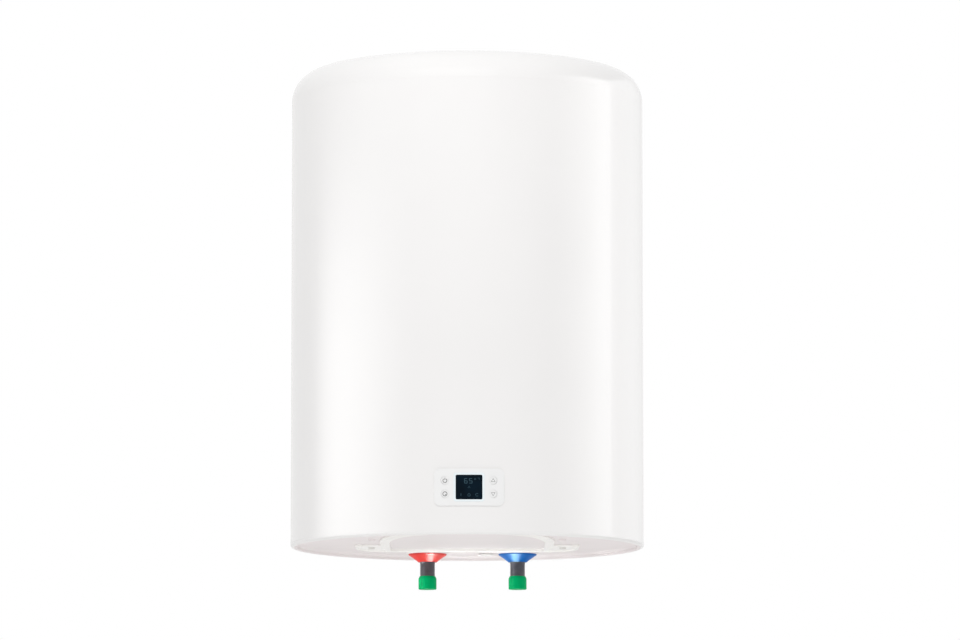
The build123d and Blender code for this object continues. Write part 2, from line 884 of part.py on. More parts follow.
with BuildPart() as anode_nut:
    with BuildSketch(level(plate_low - anode_nut_h)):
        with Locations(anode_place):
            RegularPolygon(bolt_across / 2, 6, major_radius=False)
            Circle(anode_stud_r + slip, mode=Mode.SUBTRACT)
    extrude(amount=anode_nut_h)
finish(anode_nut, "anode_nut")

# Wells: closed tubes in the tank, one for the sensor and one for the cut-out's rod
for name, place in zip(("sensor_well", "cutout_well"), well_places):
    with BuildPart() as well:
        with BuildSketch(level(well_low)):
            with Locations(place):
                Circle(well_r)
        extrude(amount=well_high - well_low)
        with BuildSketch(level(well_low)):
            with Locations(place):
                Circle(well_r - well_wall)
        extrude(amount=well_high - well_low - well_wall, mode=Mode.SUBTRACT)
    finish(well, name)

probe_r = well_r - well_wall - probe_play
with BuildPart() as temperature_sensor:
    with BuildSketch(level(probe_low)):
        with Locations(well_places[0]):
            Circle(probe_r)
    extrude(amount=well_high - 2 * well_wall - probe_low)
    with BuildSketch(level(probe_low)):
        with Locations(well_places[0]):
            Circle(well_r)
    extrude(amount=well_low - probe_low)
finish(temperature_sensor, "temperature_sensor")

# Thermal cut-out: a switch body under the plate with its rod in the well, and a reset button
cutout_w, cutout_d, cutout_h = cutout_size
cutout_low = cutout_top - cutout_h
with BuildPart() as thermal_cutout:
    with BuildSketch(level(cutout_low)):
        with Locations(well_places[1]):
            RectangleRounded(cutout_w, cutout_d, cutout_d / 8)
    extrude(amount=cutout_h)
    with BuildSketch(level(cutout_top)):
        with Locations(well_places[1]):
            Circle(probe_r)
    extrude(amount=well_high - 2 * well_wall - cutout_top)
    with BuildSketch(level(cutout_low)):
        with Locations(well_places[1]):
            Circle(reset_r + reset_play)
    extrude(amount=reset_well + reset_proud, mode=Mode.SUBTRACT)
finish(thermal_cutout, "thermal_cutout")

with BuildPart() as reset_button:
    with BuildSketch(level(cutout_low - reset_proud)):
        with Locations(well_places[1]):
            Circle(reset_r)
    extrude(amount=reset_proud + reset_well)
    fillet(reset_button.edges().group_by(Axis.Z)[0], reset_r / 4)
finish(reset_button, "reset_button")

with BuildPart() as earth_stud:
    with BuildSketch(level(plate_low - flange_nut_h)):
        with Locations(earth_place):
            RegularPolygon(flange_nut_across / 2, 6, major_radius=False)
    extrude(amount=flange_nut_h)
    with BuildSketch(level(stud_low)):
        with Locations(earth_place):
            Circle(earth_r)
    extrude(amount=plate_low - stud_low)
finish(earth_stud, "earth_stud")

# Power board in its tray, with the relay and the transformer
tray_w, tray_d, tray_h = tray_size
board_place = (board_x, -board_forward)
with BuildPart() as board_tray:
    with BuildSketch(level(floor_top)):
        with Locations(board_place):
            RectangleRounded(tray_w, tray_d, 2 * tray_wall)
    extrude(amount=tray_h)
    with BuildSketch(level(floor_top + tray_wall)):
        with Locations(board_place):
            RectangleRounded(tray_w - 2 * tray_wall, tray_d - 2 * tray_wall, tray_wall)
    extrude(amount=tray_h, mode=Mode.SUBTRACT)
    with BuildSketch(level(floor_top + tray_wall)):
        with Locations(board_place):
            with GridLocations(tray_w - 8 * tray_wall, tray_d - 8 * tray_wall, 2, 2):
                Circle(2 * tray_wall)
    extrude(amount=board_rise)
finish(board_tray, "board_tray")

board_low = floor_top + tray_wall + board_rise
with BuildPart() as power_board:
    with BuildSketch(level(board_low)):
        with Locations(board_place):
            Rectangle(tray_w - 3 * tray_wall, tray_d - 3 * tray_wall)
    extrude(amount=board_t)
finish(power_board, "power_board")

for name, size, forward in (
    ("board_relay", relay_size, relay_forward),
    ("board_transformer", transformer_size, transformer_forward),
):
    with BuildPart() as board_item:
        with BuildSketch(level(board_low + board_t)):
            with Locations((board_x, -board_forward - forward)):
                RectangleRounded(size[0], size[1], board_t)
        extrude(amount=size[2])
        fillet(board_item.edges().group_by(Axis.Z)[-1], board_t / 2)
    finish(board_item, name)

# Terminal block with a screw for each way
block_w, block_d, block_h = block_size
way_places = [(block_x, -block_forward + (i - (block_ways - 1) / 2) * block_pitch) for i in range(block_ways)]
with BuildPart() as terminal_block:
    with BuildSketch(level(floor_top)):
        with Locations((block_x, -block_forward)):
            Rectangle(block_w, block_d)
    extrude(amount=block_h)
    with BuildSketch(level(floor_top + block_h / 2)):
        with Locations(*way_places):
            Circle(block_screw_r + 2 * slip)
    extrude(amount=block_h, mode=Mode.SUBTRACT)
    with BuildSketch(level(floor_top + block_h)):
        with Locations(*[(x, y + block_pitch / 2) for x, y in way_places[:-1]]):
            Rectangle(block_w, tray_wall)
    extrude(amount=-block_h / 3, mode=Mode.SUBTRACT)
finish(terminal_block, "terminal_block")

with BuildPart() as terminal_screws:
    with BuildSketch(level(floor_top + block_h / 2)):
        with Locations(*way_places):
            Circle(block_screw_r)
    extrude(amount=block_h / 3)
finish(terminal_screws, "terminal_screws")

# Control panel: the bezel, the window and the window's raised frame follow the casing's curve
bezel_r = body_r + panel_proud
panel_r = body_r + panel_gap
button_places = [(x * button_half_w, z * button_half_h) for x, z in ((-1, 1), (-1, -1), (1, 1), (1, -1))]
pane_w, pane_h = window_w + 2 * window_play, window_h + 2 * window_play
with BuildSketch() as bezel_outline:
    RectangleRounded(panel_w, panel_h, panel_corner)
    RectangleRounded(pane_w, pane_h, window_corner, mode=Mode.SUBTRACT)
    with Locations(*button_places):
        Circle(button_r + button_play, mode=Mode.SUBTRACT)

with BuildSketch() as window_outline:
    RectangleRounded(window_w, window_h, window_corner)

with BuildSketch() as frame_outline:
    RectangleRounded(pane_w + 2 * frame_w, pane_h + 2 * frame_w, window_corner + frame_w / 2)
    RectangleRounded(pane_w, pane_h, window_corner, mode=Mode.SUBTRACT)

frame_r = bezel_r + panel_gap
for name, outline, inner_r, outer_r in (
    ("panel_bezel", bezel_outline.sketch, panel_r, bezel_r),
    ("display_window", window_outline.sketch, panel_r, bezel_r - panel_gap),
    ("display_frame", frame_outline.sketch, frame_r, frame_r + frame_t),
):
    with BuildPart() as curved_plate:
        with BuildSketch(panel_plane(body_r / 2)):
            add(outline)
        extrude(amount=body_r)
        with BuildSketch(level(0)):
            Circle(outer_r)
        extrude(amount=2 * panel_height, mode=Mode.INTERSECT)
        with BuildSketch(level(0)):
            Circle(inner_r)
        extrude(amount=2 * panel_height, mode=Mode.SUBTRACT)
    finish(curved_plate, name)

# Panel housing: a tray behind the bezel, inside the wrap's opening
housing_w = opening_w - 2 * housing_play
housing_h = opening_h - 2 * housing_play
with BuildPart() as panel_housing:
    with BuildSketch(panel_plane(housing_back)):
        RectangleRounded(housing_w, housing_h, opening_corner)
    extrude(amount=body_r - housing_back)
    with BuildSketch(panel_plane(housing_back + housing_wall)):
        RectangleRounded(housing_w - 2 * housing_wall, housing_h - 2 * housing_wall, housing_wall)
    extrude(amount=body_r - housing_back, mode=Mode.SUBTRACT)
    with BuildSketch(panel_plane(housing_back + housing_wall)):
        with GridLocations(housing_w - 10 * housing_wall, housing_h / 2, 2, 2):
            Circle(housing_wall)
    extrude(amount=board_back - housing_back - housing_wall)
    with BuildSketch(level(0)):
        Circle(body_r)
    extrude(amount=2 * panel_height, mode=Mode.INTERSECT)
finish(panel_housing, "panel_housing")

with BuildPart() as display_board:
    with BuildSketch(panel_plane(board_back)):
        Rectangle(housing_w - 3 * housing_wall, housing_h - 3 * housing_wall)
    extrude(amount=board_t)
finish(display_board, "display_board")

with BuildPart() as display_module:
    with BuildSketch(panel_plane(board_face)):
        Rectangle(window_w - 2 * module_play, window_h - 2 * module_play)
    extrude(amount=module_front - board_face)
finish(display_module, "display_module")

with BuildPart() as tact_switches:
    with BuildSketch(panel_plane(board_face)):
        with Locations(*button_places):
            Rectangle(switch_size, switch_size)
    extrude(amount=switch_h)
    with BuildSketch(panel_plane(board_face + switch_h)):
        with Locations(*button_places):
            Circle(switch_stem_r)
    extrude(amount=switch_stem)
finish(tact_switches, "tact_switches")

# Buttons: each a stem with a flange behind the bezel and a face that follows the panel's curve
button_back = board_face + switch_h + switch_stem + button_rest
for name, place in zip(("power_button", "mode_button", "up_button", "down_button"), button_places):
    with BuildPart() as button:
        with BuildSketch(panel_plane(button_back)):
            with Locations(place):
                Circle(button_flange_r)
        extrude(amount=button_flange)
        with BuildSketch(panel_plane(button_back)):
            with Locations(place):
                Circle(button_r)
        extrude(amount=housing_depth)
        with BuildSketch(level(0)):
            Circle(bezel_r + button_proud)
        extrude(amount=2 * panel_height, mode=Mode.INTERSECT)
    finish(button, name)

# Cable grommet: the mains entry in the underside
with BuildPart() as cable_grommet:
    with BuildSketch(upright(entry_x, -entry_back)):
        with BuildLine():
            Polyline(
                (entry_r, recess - entry_flange),
                (entry_flange_r, recess - entry_flange),
                (entry_flange_r, recess),
                (entry_neck_r - slip, recess),
                (entry_neck_r - slip, floor_top),
                (entry_flange_r, floor_top),
                (entry_flange_r, floor_top + entry_flange),
                (entry_r, floor_top + entry_flange),
                close=True,
            )
        make_face()
    revolve(axis=vertical(entry_x, -entry_back))
finish(cable_grommet, "cable_grommet")
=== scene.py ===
import json
import math
import sys

import bmesh
import bpy
import numpy as np
from bpy.props import FloatProperty, FloatVectorProperty, IntProperty, PointerProperty, StringProperty
from bpy.types import Operator, Panel, PropertyGroup
from mathutils import Vector
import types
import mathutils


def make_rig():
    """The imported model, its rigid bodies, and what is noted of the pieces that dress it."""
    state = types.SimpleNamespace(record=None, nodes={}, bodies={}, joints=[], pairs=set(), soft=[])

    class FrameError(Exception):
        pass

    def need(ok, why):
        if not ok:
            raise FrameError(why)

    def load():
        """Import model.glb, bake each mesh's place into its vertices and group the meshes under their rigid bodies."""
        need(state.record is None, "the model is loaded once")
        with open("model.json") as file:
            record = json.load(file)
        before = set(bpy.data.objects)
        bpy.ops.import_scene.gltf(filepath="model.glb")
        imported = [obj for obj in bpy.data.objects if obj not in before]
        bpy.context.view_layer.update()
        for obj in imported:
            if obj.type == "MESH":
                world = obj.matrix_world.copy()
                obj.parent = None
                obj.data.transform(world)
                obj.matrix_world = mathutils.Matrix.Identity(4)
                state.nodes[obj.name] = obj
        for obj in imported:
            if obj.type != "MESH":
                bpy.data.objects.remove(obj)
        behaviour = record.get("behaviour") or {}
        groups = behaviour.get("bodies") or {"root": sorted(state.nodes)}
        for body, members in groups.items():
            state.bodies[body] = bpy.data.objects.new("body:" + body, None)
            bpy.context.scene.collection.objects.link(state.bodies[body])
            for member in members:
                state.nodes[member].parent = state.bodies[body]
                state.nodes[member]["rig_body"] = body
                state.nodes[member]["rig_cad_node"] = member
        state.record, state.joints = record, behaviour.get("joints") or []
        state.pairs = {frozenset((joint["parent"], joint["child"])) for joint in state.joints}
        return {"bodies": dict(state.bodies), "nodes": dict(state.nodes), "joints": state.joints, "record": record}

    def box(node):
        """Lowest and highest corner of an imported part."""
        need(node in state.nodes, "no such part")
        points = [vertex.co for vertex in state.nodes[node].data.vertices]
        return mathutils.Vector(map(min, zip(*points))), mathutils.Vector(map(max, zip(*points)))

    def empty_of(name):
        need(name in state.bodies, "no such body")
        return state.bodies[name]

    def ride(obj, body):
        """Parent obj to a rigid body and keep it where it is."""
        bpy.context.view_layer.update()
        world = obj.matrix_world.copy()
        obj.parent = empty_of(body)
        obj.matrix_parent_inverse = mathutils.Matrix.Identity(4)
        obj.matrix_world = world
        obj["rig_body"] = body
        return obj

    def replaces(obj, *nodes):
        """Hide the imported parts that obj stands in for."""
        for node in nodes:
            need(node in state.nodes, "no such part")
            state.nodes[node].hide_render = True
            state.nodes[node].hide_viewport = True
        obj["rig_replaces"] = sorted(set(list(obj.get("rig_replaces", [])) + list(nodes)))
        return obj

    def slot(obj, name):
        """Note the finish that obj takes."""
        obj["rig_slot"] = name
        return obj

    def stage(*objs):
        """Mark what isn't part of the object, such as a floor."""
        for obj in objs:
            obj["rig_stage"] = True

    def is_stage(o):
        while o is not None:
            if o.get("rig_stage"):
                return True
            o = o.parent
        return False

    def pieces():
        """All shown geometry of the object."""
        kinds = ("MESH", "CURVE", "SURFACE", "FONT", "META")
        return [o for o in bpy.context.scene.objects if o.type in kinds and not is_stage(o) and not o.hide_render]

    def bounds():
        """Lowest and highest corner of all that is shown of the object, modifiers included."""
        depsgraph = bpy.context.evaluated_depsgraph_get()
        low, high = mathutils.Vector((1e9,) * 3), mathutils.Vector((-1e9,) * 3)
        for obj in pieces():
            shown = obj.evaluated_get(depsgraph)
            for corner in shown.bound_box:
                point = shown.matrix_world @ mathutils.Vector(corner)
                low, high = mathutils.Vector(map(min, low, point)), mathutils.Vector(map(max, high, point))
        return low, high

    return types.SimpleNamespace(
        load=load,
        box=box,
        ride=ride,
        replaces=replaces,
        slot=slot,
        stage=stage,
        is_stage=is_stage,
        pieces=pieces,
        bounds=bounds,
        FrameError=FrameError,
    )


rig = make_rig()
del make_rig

bl_info = {
    "name": "Storage Water Heater",
    "version": (1, 0, 0),
    "blender": (4, 5, 0),
    "location": "View3D > Sidebar > Water Heater",
    "description": "Surfaces, finishes and stage of a wall-hung storage water heater",
    "category": "Add Mesh",
}

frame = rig.load()
cad_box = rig.bounds()

MM = 0.001
SIZE_FILE = "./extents.json"
# Points closer than MERGE become one, and HAIR keeps faces that meet from lying in one plane
MERGE = 1e-7
HAIR = 0.01 * MM

# Places that the frame gives, in metres
WRAP_LOW, WRAP_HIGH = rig.box("casing_wrap")
TOP_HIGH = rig.box("top_cap")[1]
BODY_R = WRAP_HIGH.x
AXIS_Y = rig.box("bottom_cap")[0].y + BODY_R
RIM_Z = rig.box("bottom_cap")[0].z
WINDOW_LOW, WINDOW_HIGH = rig.box("display_window")
BEZEL_LOW, BEZEL_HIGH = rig.box("panel_bezel")
TRIM_LOW, TRIM_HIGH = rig.box("display_frame")
PANEL_X = (WINDOW_LOW.x + WINDOW_HIGH.x) / 2
PANEL_Z = (WINDOW_LOW.z + WINDOW_HIGH.z) / 2
PANEL_PROUD = AXIS_Y - BODY_R - BEZEL_LOW.y
PIPES = {side: sum(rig.box(f"{side}_nipple"), Vector()) / 2 for side in ("hot", "cold")}


def unit(v):
    """Vectors at length one."""
    return v / np.linalg.norm(v, axis=-1, keepdims=True)


def whole_turn(count):
    """Evenly spaced angles of one turn, without the last, which would repeat the first."""
    return np.linspace(0, 2 * math.pi, count, endpoint=False)


def rounded(corners, radius, closed=True, steps=6, hold=0.3):
    """A polyline whose corners are arcs. Each arc turns evenly between its two tangent points, and one
    more point stands just outside each of them, so that the flats beside an arc keep their shading."""
    corners = np.asarray(corners, float)
    count = len(corners)
    out = []
    for i, (corner, r) in enumerate(zip(corners, np.broadcast_to(radius, count))):
        if r <= 0 or (not closed and i in (0, count - 1)):
            out.append(corner[None])
            continue
        back = unit(corners[i - 1] - corner)
        on = unit(corners[(i + 1) % count] - corner)
        half = 0.5 * math.acos(np.clip(back @ on, -1, 1))
        reach = r / math.tan(half)
        centre = corner + unit(back + on) * r / math.sin(half)
        start, end = corner + back * reach, corner + on * reach
        turn = math.pi - 2 * half
        t = np.linspace(0, 1, steps + 1)[:, None]
        arc = (np.sin((1 - t) * turn) * (start - centre) + np.sin(t * turn) * (end - centre)) / math.sin(turn)
        if hold:
            start, end = start + back * reach * hold, end + on * reach * hold
            out += [start[None], centre + arc, end[None]]
        else:
            out.append(centre + arc)
    return np.vstack(out)


def arc_points(centre, radius, start, sweep, steps):
    """Points of a plane arc: the centre plus the radius times the cosine and sine of evenly spaced angles."""
    a = np.radians(np.linspace(start, start + sweep, steps + 1))
    return np.array(centre) + radius * np.stack([np.cos(a), np.sin(a)], axis=-1)


def circle(centre, radius, steps):
    """Points of a whole plane circle."""
    return arc_points(centre, radius, 0, 360, steps)[:-1]


def surface(points, wrap_u=False, wrap_v=False, fill=False):
    """A mesh from a grid of points (u, v, xyz): each quad joins a point with its next ones along u and v,
    a wrapped direction closes on itself, and fill closes open ends."""
    nu, nv = points.shape[:2]
    u = np.arange(nu if wrap_u else nu - 1)[:, None]
    v = np.arange(nv if wrap_v else nv - 1)[None, :]
    un, vn = (u + 1) % nu, (v + 1) % nv
    quads = np.stack(np.broadcast_arrays(u * nv + v, un * nv + v, un * nv + vn, u * nv + vn), axis=-1)
    mesh = bpy.data.meshes.new("surface")
    mesh.from_pydata(points.reshape(-1, 3).tolist(), [], quads.reshape(-1, 4).tolist())
    work = bmesh.new()
    work.from_mesh(mesh)
    bmesh.ops.remove_doubles(work, verts=work.verts, dist=MERGE)
    bmesh.ops.delete(work, geom=[vert for vert in work.verts if not vert.link_faces], context="VERTS")
    if fill:
        bmesh.ops.holes_fill(work, edges=[e for e in work.edges if e.is_boundary], sides=0)
    bmesh.ops.recalc_face_normals(work, faces=work.faces)
    work.to_mesh(mesh)
    work.free()
    return mesh


def turned(profile, centre, segments=96, on_axis=False):
    """A mesh turned about an upright axis: each (radius, height) goes round as radius times the cosine and
    sine of the angle. A profile closes on itself unless on_axis says that its ends lie on the axis."""
    profile = np.asarray(profile, float)
    a = whole_turn(segments)[:, None]
    x = centre[0] + profile[:, 0] * np.cos(a)
    y = centre[1] + profile[:, 0] * np.sin(a)
    z = np.broadcast_to(profile[:, 1], x.shape)
    return surface(np.stack([x, y, z], axis=-1), wrap_u=True, wrap_v=not on_axis)


def outward(path, closed=True):
    """Unit normals of a level path that runs clockwise seen from above, from the step before and after."""
    if closed:
        step = np.roll(path, -1, axis=0) - np.roll(path, 1, axis=0)
    else:
        step = np.gradient(path, axis=0)
    step = unit(step)
    return np.stack([-step[:, 1], step[:, 0]], axis=-1)


def carried(path, profile, closed=True):
    """A mesh from a closed profile of (offset, height) carried along a level path: each point of the path
    moves out along its normal by the offset. The ends of an open path are filled."""
    side = outward(path, closed)
    level = path[:, None, :] + side[:, None, :] * profile[None, :, :1]
    height = np.broadcast_to(profile[None, :, 1:], (*level.shape[:2], 1))
    points = np.concatenate([level, height], axis=-1)
    return surface(points, wrap_u=closed, wrap_v=True, fill=not closed)


def holed_plate(outline, holes, low, high, edge):
    """A level plate with holes: the outlines fill a flat curve, which is thickened and whose edges are
    rounded."""
    curve = bpy.data.curves.new("plate", "CURVE")
    curve.dimensions = "2D"
    curve.fill_mode = "BOTH"
    for points in [outline, *holes]:
        points = np.asarray(points)
        spline = curve.splines.new("POLY")
        spline.points.add(len(points) - 1)
        spline.points.foreach_set("co", np.c_[points, np.zeros(len(points)), np.ones(len(points))].ravel())
        spline.use_cyclic_u = True
    curve.extrude = (high - low) / 2 - edge
    curve.bevel_depth = edge
    curve.bevel_resolution = 2
    curve.offset = -edge
    holder = bpy.data.objects.new("plate", curve)
    mesh = bpy.data.meshes.new_from_object(holder)
    bpy.data.objects.remove(holder)
    bpy.data.curves.remove(curve)
    return reshaped(mesh, lambda co: co + (0, 0, (low + high) / 2))


def reshaped(mesh, move, cuts=()):
    """A mesh whose points go through a function of whole arrays, after it is cut at each x in cuts."""
    work = bmesh.new()
    work.from_mesh(mesh)
    bmesh.ops.remove_doubles(work, verts=work.verts, dist=MERGE)
    for x in cuts:
        geometry = [*work.verts, *work.edges, *work.faces]
        bmesh.ops.bisect_plane(work, geom=geometry, plane_co=(x, 0, 0), plane_no=(1, 0, 0), dist=MERGE)
    work.to_mesh(mesh)
    work.free()
    co = np.zeros(len(mesh.vertices) * 3, np.float32)
    mesh.vertices.foreach_get("co", co)
    mesh.vertices.foreach_set("co", move(co.reshape(-1, 3)).astype(np.float32).ravel())
    return mesh


def piece(name, meshes, material, slot, replaces=(), body="heater", sharp=34.0):
    """One object of the heater from closed meshes: merged, with its normals outwards and smooth up to an
    angle."""
    work = bmesh.new()
    for mesh in meshes:
        work.from_mesh(mesh)
    bmesh.ops.recalc_face_normals(work, faces=work.faces)
    made = bpy.data.meshes.new(name)
    work.to_mesh(made)
    work.free()
    for mesh in meshes:
        bpy.data.meshes.remove(mesh)
    made.shade_smooth()
    made.set_sharp_from_angle(angle=math.radians(sharp))
    made.materials.clear()
    made.materials.append(material)
    obj = bpy.data.objects.new(name, made)
    bpy.context.scene.collection.objects.link(obj)
    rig.ride(obj, body)
    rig.slot(obj, slot)
    if replaces:
        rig.replaces(obj, *replaces)
    return obj


def paint(material, *nodes):
    """Gives CAD nodes their material."""
    for node in nodes:
        data = frame["nodes"][node].data
        data.materials.clear()
        data.materials.append(material)


def on_body(radius):
    """The function that lays flat panel points (across, up, thickness) on the casing: x runs straight across,
    y falls back from the front by the circle's rise, and thickness stands off along the circle's normal."""

    def move(co):
        x = co[:, 0]
        base = np.sqrt(radius**2 - x**2)
        off = (radius + co[:, 2]) / radius
        return np.stack([x * off, AXIS_Y - base * off, PANEL_Z + co[:, 1]], axis=-1)

    return move


def node_group(name, inputs, outputs, build):
    """A shader node group, built once: inputs and outputs are (name, socket type, default) rows."""
    if name in bpy.data.node_groups:
        return bpy.data.node_groups[name]
    tree = bpy.data.node_groups.new(name, "ShaderNodeTree")
    for row, way in [(r, "INPUT") for r in inputs] + [(r, "OUTPUT") for r in outputs]:
        socket = tree.interface.new_socket(row[0], in_out=way, socket_type=row[1])
        if len(row) > 2:
            socket.default_value = row[2]
    start, end = tree.nodes.new("NodeGroupInput"), tree.nodes.new("NodeGroupOutput")
    build(tree, start.outputs, end.inputs)
    return tree


def add_node(tree, kind, settings=(), **values):
    """A node with its properties from settings and its sockets from values, by name or as i and a number.
    A value that is a socket is linked."""
    node = tree.nodes.new(kind)
    for key, value in dict(settings).items():
        setattr(node, key, value)
    for key, value in values.items():
        numbered = key[0] == "i" and key[1:].isdigit()
        socket = node.inputs[int(key[1:]) if numbered else key.replace("_", " ")]
        if isinstance(value, bpy.types.NodeSocket):
            tree.links.new(value, socket)
        else:
            socket.default_value = value
    return node


def math_node(tree, operation, *values):
    """The output of a Math node."""
    named = {f"i{i}": value for i, value in enumerate(values)}
    return add_node(tree, "ShaderNodeMath", {"operation": operation}, **named).outputs[0]


def range_node(tree, value, *limits):
    """The output of a Map Range node: from two limits to two others."""
    named = {f"i{i + 1}": limit for i, limit in enumerate(limits)}
    return add_node(tree, "ShaderNodeMapRange", Value=value, **named).outputs["Result"]


def mix_node(tree, share, one, other):
    """The output of a colour mix."""
    return add_node(tree, "ShaderNodeMix", {"data_type": "RGBA"}, i0=share, i6=one, i7=other).outputs[2]


def noise_node(tree, place, scale, detail):
    """The output of a noise texture."""
    noise = add_node(tree, "ShaderNodeTexNoise", Vector=place, Scale=scale, Detail=detail)
    return noise.outputs["Fac"]


def build_mottle(tree, given, out):
    """Two colours mixed by soft noise, so that a moulding or a coat isn't one flat tone."""
    noise = noise_node(tree, given["Vector"], given["Scale"], 3.0)
    spread = range_node(tree, noise, 0.32, 0.68, 0.0, 1.0)
    tree.links.new(mix_node(tree, spread, given["Colour"], given["Shade"]), out["Colour"])


def build_relief(tree, given, out):
    """Height from two sizes of noise, and roughness that follows the finer one."""
    broad = noise_node(tree, given["Vector"], given["Scale"], 2.0)
    fine_scale = math_node(tree, "MULTIPLY", given["Scale"], 4.7)
    fine = noise_node(tree, given["Vector"], fine_scale, 2.0)
    total = math_node(tree, "ADD", broad, math_node(tree, "MULTIPLY", fine, given["Fine"]))
    tree.links.new(total, out["Height"])
    tree.links.new(range_node(tree, fine, 0.3, 0.7, given["Smooth"], given["Rough"]), out["Roughness"])


def build_settled(tree, given, out):
    """A colour laid on what faces up: the normal's rise, broken up by noise, as fine dust settles."""
    facing = add_node(tree, "ShaderNodeNewGeometry").outputs["Normal"]
    rise = add_node(tree, "ShaderNodeSeparateXYZ", Vector=facing).outputs["Z"]
    share = range_node(tree, rise, 0.75, 1.0, 0.0, given["Amount"])
    share = math_node(tree, "MULTIPLY", share, noise_node(tree, given["Vector"], given["Scale"], 4.0))
    tree.links.new(mix_node(tree, share, given["Colour"], given["Shade"]), out["Colour"])


def build_worn(tree, given, out):
    """Another colour where the surface is convex, as handling changes an edge, and as painted shade and sheen
    where a finish asks for it: Geometry's pointiness, broken up by noise."""
    point = add_node(tree, "ShaderNodeNewGeometry").outputs["Pointiness"]
    share = range_node(tree, point, 0.52, 0.62, 0.0, given["Amount"])
    share = math_node(tree, "MULTIPLY", share, noise_node(tree, given["Vector"], given["Scale"], 3.0))
    tree.links.new(mix_node(tree, share, given["Colour"], given["Shade"]), out["Colour"])


AMOUNT = ("Amount", "NodeSocketFloat", 0.3)


def colour_group(name, build, *more):
    """The node group of a colour that changes towards a shade: mottled, dusty, or worn at the edges, where
    some finishes paint shade and sheen. Its inputs are the four that all of them have, and more rows of its own."""
    inputs = [
        ("Vector", "NodeSocketVector"),
        ("Colour", "NodeSocketColor", (0.8, 0.8, 0.8, 1)),
        ("Shade", "NodeSocketColor", (0.7, 0.7, 0.7, 1)),
        ("Scale", "NodeSocketFloat", 20.0),
        *more,
    ]
    return node_group(name, inputs, [("Colour", "NodeSocketColor")], build)


def relief_group():
    """The node group of a coat's or a moulding's skin: orange peel, grain or cast skin by its scale."""
    inputs = [
        ("Vector", "NodeSocketVector"),
        ("Scale", "NodeSocketFloat", 300.0),
        ("Fine", "NodeSocketFloat", 0.3),
        ("Smooth", "NodeSocketFloat", 0.2),
        ("Rough", "NodeSocketFloat", 0.3),
    ]
    outputs = [("Height", "NodeSocketFloat"), ("Roughness", "NodeSocketFloat")]
    return node_group("skin_relief", inputs, outputs, build_relief)


class Finish:
    """A material under way: its tree, its shader, object coordinates and the colour so far."""

    def __init__(self, name, colour, roughness, metallic=0.0, **more):
        self.made = bpy.data.materials.new(name)
        self.made.use_nodes = True
        self.tree = self.made.node_tree
        self.shader = self.tree.nodes["Principled BSDF"]
        self.own = np.array(colour)
        self.colour = (*colour, 1.0)
        self.roughness = roughness
        more = {key.replace("_", " "): value for key, value in more.items()}
        for socket, value in {"Roughness": roughness, "Metallic": metallic, **more}.items():
            self.shader.inputs[socket].default_value = value
        self.place = add_node(self.tree, "ShaderNodeTexCoord").outputs["Object"]

    def group(self, tree, **values):
        """Places a node group and returns it."""
        return add_node(self.tree, "ShaderNodeGroup", {"node_tree": tree}, Vector=self.place, **values)

    def stretch(self, scale):
        """Scales the coordinates that the next groups read, to draw a pattern out along an axis."""
        mapping = add_node(self.tree, "ShaderNodeMapping", Vector=self.place, Scale=scale)
        self.place = mapping.outputs["Vector"]
        return self

    def towards(self, group, shade, **values):
        """Changes the colour towards a shade, as the group says."""
        made = self.group(group, Colour=self.colour, Shade=(*shade, 1.0), **values)
        self.colour = made.outputs["Colour"]
        self.tree.links.new(self.colour, self.shader.inputs["Base Color"])
        return self

    def tint(self, share, scale):
        """Varies the colour softly towards a share of itself."""
        return self.towards(colour_group("coat_mottle", build_mottle), self.own * share, Scale=scale)

    def dust(self, colour, scale, amount):
        """Lays dust on what faces up."""
        group = colour_group("settled_dust", build_settled, AMOUNT)
        return self.towards(group, colour, Scale=scale, Amount=amount)

    def wear(self, share, scale, amount):
        """Lightens or darkens the convex edges, as wear does; on the rosettes it is painted shade, and on the keys
        a painted sheen.
        """
        shade = np.clip(self.own * share, 0, 1)
        group = colour_group("worn_edge", build_worn, AMOUNT)
        return self.towards(group, shade, Scale=scale, Amount=amount)

    def skin(self, scale, depth, spread=0.05, fine=0.3):
        """Gives the surface its relief, in metres of depth, and a roughness that varies with it."""
        low, high = max(self.roughness - spread, 0.02), self.roughness + spread
        made = self.group(relief_group(), Scale=scale, Fine=fine, Smooth=low, Rough=high)
        bump = add_node(self.tree, "ShaderNodeBump", Distance=depth, Height=made.outputs["Height"])
        self.tree.links.new(bump.outputs["Normal"], self.shader.inputs["Normal"])
        self.tree.links.new(made.outputs["Roughness"], self.shader.inputs["Roughness"])
        return self


finishes = {}


def finish(name):
    """A material by the name of its function, made the first time that it is asked for."""
    if name not in finishes:
        finishes[name] = globals()[f"{name}_finish"](bpy.context.scene.heater_finishes).made
    return finishes[name]


def length(name, description, default):
    """A length that a user may change, given in millimetres."""
    return FloatProperty(name=name, description=description, default=default * MM, unit="LENGTH", precision=5)


def colour(name, description, default):
    """A colour that a user may change, as linear shares of light."""
    return FloatVectorProperty(
        name=name, description=description, default=default, subtype="COLOR", min=0, max=1
    )


def metres(name, description, default):
    """A distance of the stage that a user may change, given in metres."""
    return FloatProperty(name=name, description=description, default=default, unit="LENGTH")


def angle(name, description, degrees):
    """An angle that a user may change, given in degrees."""
    return FloatProperty(name=name, description=description, default=math.radians(degrees), unit="ROTATION")


def power(name, description, default):
    """The power of a lamp that a user may change, given in watts."""
    return FloatProperty(name=name, description=description, default=default, unit="POWER", precision=3)


